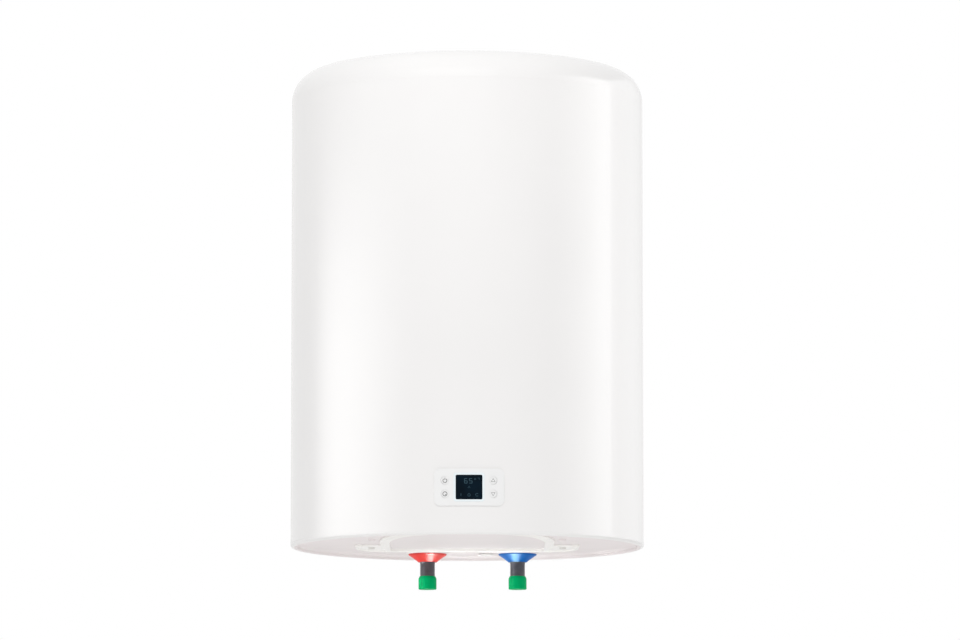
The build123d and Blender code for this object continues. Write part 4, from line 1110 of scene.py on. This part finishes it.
class HEATER_OT_service_cover(Operator):
    """Makes the service cover with its sloping wall, its floor and its eared back strip, and its screws"""

    bl_idname = "heater.service_cover"
    bl_label = "Service cover"

    def execute(self, context):
        size = context.scene.heater_cover
        recess = RIM_Z + context.scene.heater_casing.recess
        seat = recess - 3 * HAIR
        face = recess - size.gap - size.plate
        foot = recess - size.drop
        meshes = [self.wall(size, recess, seat, face, foot)]
        meshes += [self.rib(size, seat, foot), self.web(size, seat, face)]
        meshes += [self.knob(size, seat, foot, side) for side in (-1, 1)]
        piece("service_cover_frame", meshes, finish("cover"), "cover_plastic", ["service_cover"])
        # The floor and the frame are one moulding in two colours: the floor's darker, pinker one is painted shade.
        floor = holed_plate(cover_path(size, -size.lap), [], recess, recess + size.plate, 0.2 * MM)
        piece("service_cover_floor", [floor], finish("cover_floor"), "cover_plastic")
        self.screws(size, face)
        return {"FINISHED"}

    def wall(self, size, recess, seat, face, foot):
        """The D's border and wall as a closed ring, one level path for each point of its section: the
        border's edge, its flat face, the leaning wall, the foot, and the inner side up to the floor."""
        slope = size.flare * (face - foot) / (recess - size.gap - foot)
        inner = -size.lap - size.gap
        corners = [(size.flare, seat), (size.flare, face), (slope, face), (0, foot), (-size.lip, foot)]
        corners += [(-size.lip, recess), (inner, recess), (inner, seat)]
        line = rounded(corners, np.array([0, 0.6, 0.9, 0.8, 0.8, 0, 0, 0]) * MM)
        rows = []
        for offset, height in line:
            path = cover_path(size, offset)
            rows.append(np.c_[path, np.full(len(path), height)])
        return surface(np.stack(rows), wrap_u=True, wrap_v=True)

    def ear_path(self, size, offset):
        """The back strip's edge as an open path, from the left ear round the back to the right ear."""
        half, back, turn = size.ear + offset, size.back + offset, size.ear_round + offset
        left = arc_points((-half + turn, back - turn), turn, 180, -90, 24)
        right = arc_points((half - turn, back - turn), turn, 90, -90, 24)
        along = np.linspace(-0.8, 0.8, 9)[:, None] * np.array([[half - turn, 0]]) + (0, back)
        side = np.linspace(size.ear_front, back - turn, 6)[:-1, None]
        left_side = np.hstack([np.full_like(side, -half), side])
        right_side = np.hstack([np.full_like(side, half), side])[::-1]
        return np.vstack([left_side, left, along, right, right_side]) + (0, AXIS_Y)

    def web(self, size, seat, face):
        """The flat web between the rib and the D: the strip's edge, and back along the D inside its wall."""
        inside = cover_path(size, -size.lip / 2)
        inside = inside[inside[:, 1] > AXIS_Y + size.ear_front]
        ends = np.array([[side * (size.half - size.lip / 2), AXIS_Y + size.ear_front] for side in (1, -1)])
        outline = np.vstack([self.ear_path(size, size.ear_over), ends[:1], inside[::-1], ends[1:]])
        return holed_plate(outline, [], face + 4 * HAIR, seat - HAIR, 0.15 * MM)

    def rib(self, size, seat, foot):
        """The strip's rib: a wall with a round foot along the back and both ears."""
        half, low = size.rib / 2, foot + 4 * HAIR
        corners = [(-half, seat), (-half, low), (half, low), (half, seat)]
        line = rounded(corners, np.array([0, 1.2, 1.2, 0]) * MM)
        return carried(self.ear_path(size, size.ear_over - half), line, closed=False)

    def knob(self, size, seat, foot, side):
        """A domed knob at an ear's end, with a shallow dimple in its middle."""
        dimple = np.array([(0, 0.35), (0.35, 0.3), (0.5, 0)]) * (size.knob, MM) + (0, foot)
        corners = [*dimple, (size.knob, foot), (size.knob, seat), (0, seat)]
        line = rounded(corners, np.array([0, 0.6, 0.6, 1.4, 0, 0]) * MM, closed=False)
        place = (side * (size.ear - size.rib / 2), AXIS_Y + size.ear_front)
        return turned(line, place, 48, on_axis=True)

    def screws(self, size, face):
        """Pan-head screws with a cross recess, one in each ear."""
        low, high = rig.box("cover_screws")
        for name, x in (("left", low.x + size.screw), ("right", high.x - size.screw)):
            mesh = self.screw_head((x, (low.y + high.y) / 2), face, size.screw, size.screw_head)
            piece(f"cover_screw_{name}", [mesh], finish("screw"), "zinc_steel", ["cover_screws"])

    def screw_head(self, place, face, radius, height):
        """A pan head seen from below: a grid of radius and angle whose depth is a dome, less a cross recess
        that fades towards its four ends."""
        r = np.linspace(0, 1, 22)[:, None]
        a = whole_turn(72)[None, :]
        x, y = r * np.cos(a), r * np.sin(a)
        dome = np.sqrt(np.clip(1 - (r * 0.97) ** 4, 0, 1)) * height + 0 * a
        arm, reach = np.minimum(np.abs(x), np.abs(y)), np.maximum(np.abs(x), np.abs(y))
        arm_half, arm_fade, arm_end, end_fade = 0.13, 0.05, 0.55, 0.12
        cross = np.clip((arm_half - arm) / arm_fade, 0, 1) * np.clip((arm_end - reach) / end_fade, 0, 1)
        depth = dome - 0.5 * height * cross
        top = np.stack([place[0] + x * radius, place[1] + y * radius, face - depth], axis=-1)
        rim = top[-1:].copy()
        rim[..., 2] = face
        middle = rim.copy()
        middle[..., 0], middle[..., 1] = place
        return surface(np.concatenate([top, rim, middle]), wrap_v=True)


class HEATER_OT_pipes(Operator):
    """Makes the two pipes with their rosettes and thread caps"""

    bl_idname = "heater.pipes"
    bl_label = "Pipes"

    def execute(self, context):
        size = context.scene.heater_pipes
        slots = {"hot": "red_plastic", "cold": "blue_plastic"}
        for side, place in PIPES.items():
            self.nipple(size, side, place)
            self.rosette(size, side, place, slots[side])
            self.thread_cap(size, side, place)
        return {"FINISHED"}

    def nipple(self, size, side, place):
        """The pipe: a thread on its visible stretch, cut as a ridge that climbs one pitch a turn, then the
        plain shank and the weld collar inside the heater."""
        low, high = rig.box(f"{side}_nipple")
        rosette_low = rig.box(f"{side}_rosette")[0].z
        cap_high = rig.box(f"{side}_thread_cap")[1].z
        around = 40
        runout, skin = 0.8 * MM, size.radius - 2 * HAIR
        thread_low, thread_high = low.z + runout, rosette_low - runout
        height = np.linspace(thread_low, thread_high, 240)
        angle = whole_turn(around)
        phase = (height[None, :] / size.pitch + angle[:, None] / (2 * math.pi)) % 1.0
        ridge_half, flank, long_fade = 0.88, 0.76, 1.5
        ridge = np.clip((ridge_half - np.abs(2 * phase - 1)) / flank, 0, 1)
        fade = np.clip(np.minimum((thread_high - height) / long_fade, height - thread_low) / size.pitch, 0, 1)
        cap_play, cap_lead = 0.3 * MM, 0.4 * MM
        crest = skin - cap_play * np.clip((cap_high - height) / cap_lead, 0, 1)
        cut = crest[None, :] - size.depth * (1 - ridge) * fade[None, :]
        cut = np.stack([cut, np.broadcast_to(height, cut.shape)], axis=-1)
        collar_low = RIM_Z + size.collar_low
        collar_high = collar_low + size.collar_h
        chamfer, root, step = 1.2 * MM, 0.5 * MM, 0.1 * MM
        foot = [(size.bore, low.z), (size.radius - chamfer, low.z), (size.radius - root, thread_low - step)]
        head = [
            (skin, thread_high + step),
            (skin, rosette_low + 2 * step),
            (size.shank, rosette_low + 3 * step),
            (size.shank, collar_low),
            (size.collar, collar_low),
            (size.collar, collar_high),
            (size.shank, collar_high),
            (size.shank, high.z),
            (size.bore, high.z),
        ]
        ends = [np.broadcast_to(np.array(end)[None], (around, len(end), 2)) for end in (foot, head)]
        line = np.concatenate([ends[0], cut, ends[1]], axis=1)
        x = place.x + line[..., 0] * np.cos(angle)[:, None]
        y = place.y + line[..., 0] * np.sin(angle)[:, None]
        mesh = surface(np.stack([x, y, line[..., 1]], axis=-1), wrap_u=True, wrap_v=True)
        piece(f"{side}_pipe", [mesh], finish("pipe"), "pipe_steel", [f"{side}_nipple"], sharp=50)

    def rosette(self, size, side, place, slot):
        """A turned cone: an upright brim against its pad, a slightly hollow flank and a rounded neck."""
        low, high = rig.box(f"{side}_rosette")
        base, top = low.z, high.z
        bore = size.radius + size.play
        inner = bore + size.wall
        neck = np.array([size.neck, base + size.edge])
        brim = np.array([size.rosette - size.brim, top - 2 * size.brim])
        t = np.linspace(0, 1, 14)[:, None]
        flank = neck + (brim - neck) * t
        flank[:, 1] += size.hollow * np.sin(math.pi * t[:, 0])
        bevel, break_edge = 0.25 * MM, 0.15 * MM
        foot = [(bore, base + bevel), (bore + bevel, base), (size.neck - size.edge, base)]
        edge = [
            (size.rosette, top - size.brim),
            (size.rosette, top - break_edge),
            (size.rosette - break_edge, top),
            (size.rosette - size.wall, top),
            (inner, base + 2 * size.wall),
            (bore, base + 2 * size.wall),
        ]
        mesh = turned(np.vstack([foot, flank, edge]), (place.x, place.y), 96)
        piece(f"{side}_rosette_shell", [mesh], finish(side), slot, [f"{side}_rosette"], sharp=40)

    def thread_cap(self, size, side, place):
        """A moulded cap: a grid of angle and profile whose wall carries shallow grip flutes between its
        rounded shoulder and foot, and a hollow for the pipe's end."""
        low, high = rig.box(f"{side}_thread_cap")
        grip = 0.13 * MM
        bore = size.radius - grip
        shoulder = high.z - 2 * size.cap_shoulder
        corners = [
            (0, low.z),
            (size.cap, low.z),
            (size.cap, shoulder),
            (size.cap - size.cap_shoulder, high.z),
            (bore, high.z),
            (bore, low.z + size.cap_floor),
            (0, low.z + size.cap_floor),
        ]
        line = rounded(corners, np.array([0, 0.8, 1.4, 0.4, 0.1, 0.4, 0]) * MM, closed=False)
        flutes, flute, runout, step = 24, 0.12 * MM, 1.2 * MM, 0.1 * MM
        flute_low, flute_high = low.z + 1.5 * MM, shoulder - 0.8 * MM
        at = int(np.argmax(line[:, 1] > flute_low))
        wall = np.linspace(flute_low + step, flute_high - step, 8)
        line = np.vstack([line[:at], np.c_[np.full(8, size.cap), wall], line[at:]])
        a = whole_turn(144)[:, None]
        z = line[:, 1]
        on_wall = line[:, 0] > size.cap - HAIR
        fade = np.clip(np.minimum(z - flute_low, flute_high - z) / runout, 0, 1) * on_wall
        r = line[None, :, 0] - flute * (0.5 - 0.5 * np.cos(flutes * a)) * fade[None, :]
        x, y = place.x + r * np.cos(a), place.y + r * np.sin(a)
        mesh = surface(np.stack([x, y, np.broadcast_to(z, r.shape)], axis=-1), wrap_u=True)
        node, body = f"{side}_thread_cap", f"{side}_cap"
        piece(f"{side}_cap_shell", [mesh], finish("green"), "green_plastic", [node], body, 40)


def rounded_rectangle(width, height, corner, steps=8):
    """A rectangle with corner arcs round the panel's middle, as flat points."""
    w, h = width / 2, height / 2
    corners = np.array([(w, h), (-w, h), (-w, -h), (w, -h)])
    return rounded(corners, corner, steps=steps, hold=0) + (PANEL_X, 0.0)


def key_places():
    """The four buttons' middles on the panel, from their CAD nodes, as name: (across, up)."""
    boxes = {key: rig.box(f"{key}_button") for key in ("power", "mode", "up", "down")}
    return {key: ((a.x + b.x) / 2 - PANEL_X, (a.z + b.z) / 2 - PANEL_Z) for key, (a, b) in boxes.items()}


def stroke(line, width, thickness, move):
    """A printed line: a flat band carried along a plane path, with a little body, then laid on the casing."""
    loop = np.allclose(line[0], line[-1]) and len(line) > 3
    path = line[:-1] if loop else line
    if not loop and len(path) == 2:
        path = path[0] + (path[1] - path[0]) * np.linspace(0, 1, 4)[:, None]
    side = outward(path, loop)
    offsets = np.array([-width / 2, width / 2, width / 2, -width / 2])
    heights = np.array([0, 0, thickness, thickness])
    level = path[:, None, :] + side[:, None, :] * offsets[None, :, None]
    points = np.concatenate([level, np.broadcast_to(heights[None, :, None], (*level.shape[:2], 1))], axis=-1)
    points = move(points.reshape(-1, 3)).reshape(points.shape)
    return surface(points, wrap_u=loop, wrap_v=True, fill=not loop)


FIGURES = {
    "0": "abcdef", "1": "bc", "2": "abged", "3": "abgcd", "4": "fgbc",
    "5": "afgcd", "6": "afgedc", "7": "abc", "8": "abcdefg", "9": "abcdfg",
}

DISPLAY_SYMBOLS = [
    np.array([(9.2, 9.6), (10.9, 9.6), (10.9, 7.9)]),
    np.array([(-1.3, -0.7), (0, 1.1), (1.3, -0.7), (-1.3, -0.7)]),
    np.array([(-8.6, -9.6), (-8.6, -6.4)]),
    arc_points((0.0, -8.4), 1.35, 0, 360, 12),
    np.array([(0, -6.2), (0, -7.0)]),
    arc_points((8.5, -8.2), 1.5, 40, 280, 10),
]

KEY_SYMBOLS = {
    "power": [arc_points((0, -0.2), 2.1, 125, 290, 22), np.array([(0, 0.4), (0, 2.7)])],
    "mode": [arc_points((0, 0), 2.2, 0, 360, 24), np.array([(0.2, -0.3), (1.5, -1.6)])],
    "up": [np.array([(-2.1, -1.3), (0, 1.9), (2.1, -1.3), (-2.1, -1.3)])],
    "down": [np.array([(-2.1, 1.3), (0, -1.9), (2.1, 1.3), (-2.1, 1.3)])],
}


def figure_bars(figure, width, height):
    """A figure as up to seven bars of a plain segment display, drawn in so that they don't meet."""
    w, h, draw_in = width / 2, height / 2, 0.86
    ends = {
        "a": ((-w, h), (w, h)),
        "b": ((w, h), (w, 0)),
        "c": ((w, 0), (w, -h)),
        "d": ((w, -h), (-w, -h)),
        "e": ((-w, -h), (-w, 0)),
        "f": ((-w, 0), (-w, h)),
        "g": ((-w, 0), (w, 0)),
    }
    return [np.array(ends[bar]) * draw_in for bar in FIGURES[figure]]


class HEATER_OT_panel(Operator):
    """Makes the control panel's plate, the display with its frame and the lit marks"""

    bl_idname = "heater.panel"
    bl_label = "Control panel"

    def execute(self, context):
        size = context.scene.heater_panel
        window_w, window_h = WINDOW_HIGH.x - WINDOW_LOW.x, WINDOW_HIGH.z - WINDOW_LOW.z
        bezel_w, bezel_h = BEZEL_HIGH.x - BEZEL_LOW.x, BEZEL_HIGH.z - BEZEL_LOW.z
        trim_w, trim_h = TRIM_HIGH.x - TRIM_LOW.x, TRIM_HIGH.z - TRIM_LOW.z
        hole_w, hole_h = window_w + 2 * size.play, window_h + 2 * size.play
        hole = rounded_rectangle(hole_w, hole_h, size.window_corner, 5)
        key_hole = size.key_radius + size.key_gap
        keys = [circle((PANEL_X + x, z), key_hole, 40) for x, z in key_places().values()]
        outline = rounded_rectangle(bezel_w, bezel_h, size.corner, 10)
        trim = rounded_rectangle(trim_w, trim_h, size.trim_corner, 6)
        pane = rounded_rectangle(window_w, window_h, size.window_corner, 5)
        trim_proud = AXIS_Y - BODY_R - TRIM_LOW.y
        pane_proud = AXIS_Y - BODY_R - WINDOW_LOW.y
        trim_edge, pane_edge = 0.14 * MM, 0.15 * MM
        self.plate("panel_plate", outline, [hole, *keys], PANEL_PROUD, size.edge, "panel", "panel_bezel")
        self.plate("display_trim", trim, [hole], trim_proud, trim_edge, "trim", "display_frame")
        self.plate("display_pane", pane, [], pane_proud, pane_edge, "screen", "display_window")
        self.segments(size, BODY_R + pane_proud)
        return {"FINISHED"}

    def plate(self, name, outline, holes, proud, edge, look, node):
        """A holed plate laid on the casing's round front, from just clear of it."""
        slot = "display_dark" if look == "screen" else "panel_plastic"
        cuts = np.linspace(BEZEL_LOW.x, BEZEL_HIGH.x, 49)[1:-1]
        clear = 0.05 * MM
        mesh = reshaped(holed_plate(outline, holes, clear, proud, edge), on_body(BODY_R), cuts)
        piece(name, [mesh], finish(look), slot, [node])

    def segments(self, size, radius):
        """The lit marks: figures of up to seven bars each, a degree ring and small plain symbols."""
        first, spacing, up = -3.4, 5.2, 6.6
        width, height = 3.4 * MM, 5.6 * MM
        bar, ring, fine = 0.8 * MM, 0.45 * MM, 0.55 * MM
        strokes = []
        for i, figure in enumerate(size.value):
            place = np.array((first + i * spacing, up)) * MM
            strokes += [(line + place, bar) for line in figure_bars(figure, width, height)]
        strokes.append((arc_points((6.6 * MM, 8.6 * MM), 0.8 * MM, 0, 360, 14), ring))
        strokes += [(line * MM, fine) for line in DISPLAY_SYMBOLS]
        lay = on_body(radius)
        meshes = [stroke(line + (PANEL_X, 0), thick, size.ink, lay) for line, thick in strokes]
        piece("display_marks", meshes, finish("digit"), "display_dark")


class HEATER_OT_keys(Operator):
    """Makes the four panel buttons with their printed marks"""

    bl_idname = "heater.keys"
    bl_label = "Buttons"

    def execute(self, context):
        size = context.scene.heater_panel
        proud = PANEL_PROUD + size.key_proud
        for key, (across, up) in key_places().items():
            mesh = self.button(size, across, up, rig.box(f"{key}_button")[1].y, proud)
            body = f"{key}_key"
            piece(f"{key}_key_cap", [mesh], finish("key"), "button_plastic", [f"{key}_button"], body, 40)
            lay = on_body(BODY_R + proud - 0.005 * MM)
            place = (PANEL_X + across, up)
            meshes = [stroke(line * MM + place, size.line, size.ink, lay) for line in KEY_SYMBOLS[key]]
            piece(f"{key}_mark", meshes, finish("mark"), "button_plastic", body=body)
        return {"FINISHED"}

    def button(self, size, across, up, back, proud):
        """A round stem on a grid of angle and profile: its face follows the casing's circle and is rounded
        at the edge, and a flange behind the plate holds it."""
        a = whole_turn(64)[:, None]
        edge = arc_points((size.key_radius - size.key_edge, -size.key_edge), size.key_edge, 90, -90, 6)
        flat = np.array([0, 0.3, 0.6, 0.83]) * size.key_radius
        drop = np.concatenate([0 * flat, edge[:, 1]])
        stem = np.array([size.key_radius, size.flange, size.flange, 0])
        depth = np.array([back - size.flange_t, back - size.flange_t, back, back])
        radius = np.concatenate([flat, edge[:, 0], stem])[None, :]
        x = PANEL_X + across + radius * np.cos(a)
        z = PANEL_Z + up + radius * np.sin(a)
        face = AXIS_Y - np.sqrt((BODY_R + proud) ** 2 - x[:, : len(drop)] ** 2) - drop[None, :]
        y = np.concatenate([face, np.broadcast_to(depth, (len(a), len(depth)))], axis=1)
        return surface(np.stack([x, y, z], axis=-1), wrap_u=True)


class HEATER_OT_nodes(Operator):
    """Gives the hanging parts, the tank, the flange parts and the electrical parts their finishes"""

    bl_idname = "heater.nodes"
    bl_label = "Hanging and inner parts"

    def execute(self, context):
        parts = {
            "bracket": "hanging_bracket bracket_legs",
            "grey_rubber": "lower_wall_buffers",
            "tank": "tank_barrel tank_top_dome tank_bottom_dome flange_collar",
            "foam": "insulation_foam",
            "copper": "heating_element sensor_well cutout_well board_transformer",
            "brass": "element_ferrules earth_stud",
            "magnesium": "anode_rod",
            "stainless": "hot_standpipe temperature_sensor",
            "zinc": "bracket_bolts bracket_nuts flange_plate flange_nuts anode_nut terminal_screws",
            "black_rubber": "flange_gasket",
            "board": "power_board display_board",
            "black": "thermal_cutout board_relay display_module tact_switches",
            "block": "cold_diffuser board_tray terminal_block",
            "panel": "panel_housing",
            "hot": "reset_button",
        }
        for look, nodes in parts.items():
            paint(finish(look), *nodes.split())
        return {"FINISHED"}


class HEATER_OT_stage(Operator):
    """Sets the floor, the lamps, the world and the camera"""

    bl_idname = "heater.stage"
    bl_label = "Stage"

    def execute(self, context):
        size = context.scene.heater_stage
        context.scene.view_settings.view_transform = "Standard"
        self.world(size)
        self.floor(size)
        self.body_lamps(size)
        self.pipe_lamps(size)
        self.camera(size)
        return {"FINISHED"}

    def body_lamps(self, size):
        """Wide lamps above and below the front for diffuse light, and three softboxes for the casing's gloss:
        each row gives an angle from the front, a size, the middle's height, watts and the fading edges."""
        axis = Vector((0, AXIS_Y, RIM_Z))
        above, waist = axis + Vector((-0.15, -1.1, 1.0)), axis + Vector((0, 0, 0.4))
        below = axis + Vector((0, -0.6, -1.2))
        self.lamp("front_lamp", above, waist, (1.0, 0.6), size.front, "diffuse")
        self.softbox("left_strip", -76, (4.2, 1.27), -0.265, size.left, (0.4, 0.6, 0.15, 0.25))
        self.softbox("right_strip", 78, (2.4, 1.63), 0.38, size.right, (0.9, 0.05, 0.08, 0.1))
        self.softbox("right_wide", 132, (2.6, 1.63), 0.38, size.limb, (0.02, 0.9, 0.08, 0.1))
        self.lamp("under_lamp", below, axis, (1.2, 0.9), size.under, "diffuse")

    def pipe_lamps(self, size):
        """Two small narrow lamps at the pipes: one below that glints in the rosettes, and one at the left."""
        pipes = (PIPES["hot"] + PIPES["cold"]) / 2
        pipes.z = RIM_Z
        aim = pipes + Vector((0.0065, 0.025, 0))
        glint = self.lamp("glint_lamp", aim + Vector((0, 0, -0.2)), aim, (0.105, 0.08), size.glint, "gloss")
        glint.spread = math.radians(50)
        place, caps = pipes + Vector((-0.35, -0.1, -0.05)), pipes + Vector((0, 0, -0.03))
        side = self.lamp("side_lamp", place, caps, (0.1, 0.05), size.side)
        side.spread = math.radians(16)

    def world(self, size):
        """Plain white to the camera, to gloss and through glass, and a softer share for the light itself."""
        world = bpy.data.worlds.new("studio")
        bpy.context.scene.world = world
        world.use_nodes = True
        tree = world.node_tree
        rays = add_node(tree, "ShaderNodeLightPath").outputs
        seen = math_node(tree, "MAXIMUM", rays["Is Camera Ray"], rays["Is Glossy Ray"])
        seen = math_node(tree, "MAXIMUM", seen, rays["Is Transmission Ray"])
        ground = tree.nodes["Background"]
        ground.inputs["Color"].default_value = (1.0, 1.0, 1.0, 1.0)
        tree.links.new(range_node(tree, seen, 0.0, 1.0, size.ambient, 1.0), ground.inputs["Strength"])

    def floor(self, size):
        """A pale floor well below the heater, clear from underneath."""
        half = 9.0
        across = np.array([-half, half])
        x, y = np.meshgrid(across, across, indexing="ij")
        corners = np.stack([x, y + AXIS_Y, np.full_like(x, RIM_Z - size.floor)], axis=-1)
        floor = bpy.data.objects.new("floor", surface(corners))
        if floor.data.polygons[0].normal.z < 0:
            floor.data.flip_normals()
        bpy.context.scene.collection.objects.link(floor)
        made = Finish("studio_floor", (0.92, 0.915, 0.91), 0.7).tint(0.99, 0.8).skin(60.0, 0.2 * MM)
        tree = made.tree
        back = add_node(tree, "ShaderNodeNewGeometry").outputs["Backfacing"]
        clear = add_node(tree, "ShaderNodeBsdfTransparent").outputs[0]
        mix = add_node(tree, "ShaderNodeMixShader", i0=back, i1=made.shader.outputs[0], i2=clear)
        tree.links.new(mix.outputs[0], tree.nodes["Material Output"].inputs["Surface"])
        floor.data.materials.append(made.made)
        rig.stage(floor)

    def softbox(self, name, azimuth, size, middle, watts, fade):
        """An upright lamp that only shows in gloss, at an angle from the front. Its light fades towards its
        edges as a real softbox's does: fade gives the width of each soft edge as a share of the lamp."""
        turn, away = math.radians(azimuth), 2.3
        aim = Vector((0, AXIS_Y, middle))
        place = aim + Vector((math.sin(turn), -math.cos(turn), 0)) * away
        light = self.lamp(name, place, aim, size, watts, "gloss")
        light.use_nodes = True
        tree = light.node_tree
        across = add_node(tree, "ShaderNodeNewGeometry").outputs["Parametric"]
        parts = add_node(tree, "ShaderNodeSeparateXYZ", Vector=across).outputs
        total = 1.0
        for part, (low, high) in zip(parts, (fade[:2], fade[2:])):
            for start, end in ((0.0, low), (1.0, 1.0 - high)):
                edge = add_node(tree, "ShaderNodeMapRange", {"interpolation_type": "SMOOTHSTEP"}, Value=part)
                edge.inputs[1].default_value, edge.inputs[2].default_value = start, end
                total = math_node(tree, "MULTIPLY", total, edge.outputs["Result"])
        tree.links.new(total, tree.nodes["Emission"].inputs["Strength"])

    def lamp(self, name, place, aim, size, watts, shows="both"):
        """A rectangular lamp that the camera doesn't see. It shows in gloss, in diffuse light or in both."""
        light = bpy.data.lights.new(name, "AREA")
        light.shape = "RECTANGLE"
        light.size, light.size_y = size
        light.energy = watts
        lamp = bpy.data.objects.new(name, light)
        lamp.location = place
        lamp.rotation_euler = (Vector(aim) - Vector(place)).to_track_quat("-Z", "Y").to_euler()
        lamp.visible_camera = False
        lamp.visible_diffuse = shows != "gloss"
        lamp.visible_glossy = shows != "diffuse"
        bpy.context.scene.collection.objects.link(lamp)
        return light

    def camera(self, size):
        """The photograph's view: in front of the heater and below its rim, looking up a little."""
        data = bpy.data.cameras.new("camera")
        data.sensor_width = 36.0
        data.lens = size.lens
        data.clip_end = 50.0
        camera = bpy.data.objects.new("camera", data)
        camera.location = (0, AXIS_Y - size.distance, RIM_Z - size.drop)
        camera.rotation_euler = (math.pi / 2 + size.pitch, 0, -size.yaw)
        bpy.context.scene.collection.objects.link(camera)
        bpy.context.scene.camera = camera


class HEATER_PT_sidebar(Panel):
    """Lists the heater's operators and their settings"""

    bl_label = "Water Heater"
    bl_idname = "HEATER_PT_sidebar"
    bl_space_type = "VIEW_3D"
    bl_region_type = "UI"
    bl_category = "Water Heater"

    def draw(self, context):
        column = self.layout.column(align=True)
        for operator in OPERATORS:
            column.operator(operator.bl_idname)
        for name in GROUPS:
            settings = getattr(context.scene, name)
            box = self.layout.box()
            box.label(text=name.replace("_", " "))
            for key in settings.bl_rna.properties.keys():
                if key not in ("rna_type", "name"):
                    box.prop(settings, key)


GROUPS = {
    "heater_finishes": HeaterFinishes,
    "heater_casing": HeaterCasing,
    "heater_cover": HeaterCover,
    "heater_pipes": HeaterPipes,
    "heater_panel": HeaterPanel,
    "heater_stage": HeaterStage,
}
OPERATORS = (
    HEATER_OT_casing,
    HEATER_OT_underside,
    HEATER_OT_service_cover,
    HEATER_OT_pipes,
    HEATER_OT_panel,
    HEATER_OT_keys,
    HEATER_OT_nodes,
    HEATER_OT_stage,
)


def register():
    for cls in (*GROUPS.values(), *OPERATORS, HEATER_PT_sidebar):
        bpy.utils.register_class(cls)
    for name, cls in GROUPS.items():
        setattr(bpy.types.Scene, name, PointerProperty(type=cls))


def unregister():
    for name in GROUPS:
        delattr(bpy.types.Scene, name)
    for cls in (HEATER_PT_sidebar, *reversed(OPERATORS), *reversed(GROUPS.values())):
        bpy.utils.unregister_class(cls)


def main():
    """Registers the classes, makes every piece and writes the sizes of the frame and of what is shown."""
    register()
    for operator in OPERATORS:
        group, name = operator.bl_idname.split(".")
        getattr(getattr(bpy.ops, group), name)()
    shown_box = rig.bounds()
    with open(SIZE_FILE, "w") as out:
        json.dump({"cad": [list(p) for p in cad_box], "visual": [list(p) for p in shown_box]}, out)


if __name__ == "__main__":
    main()
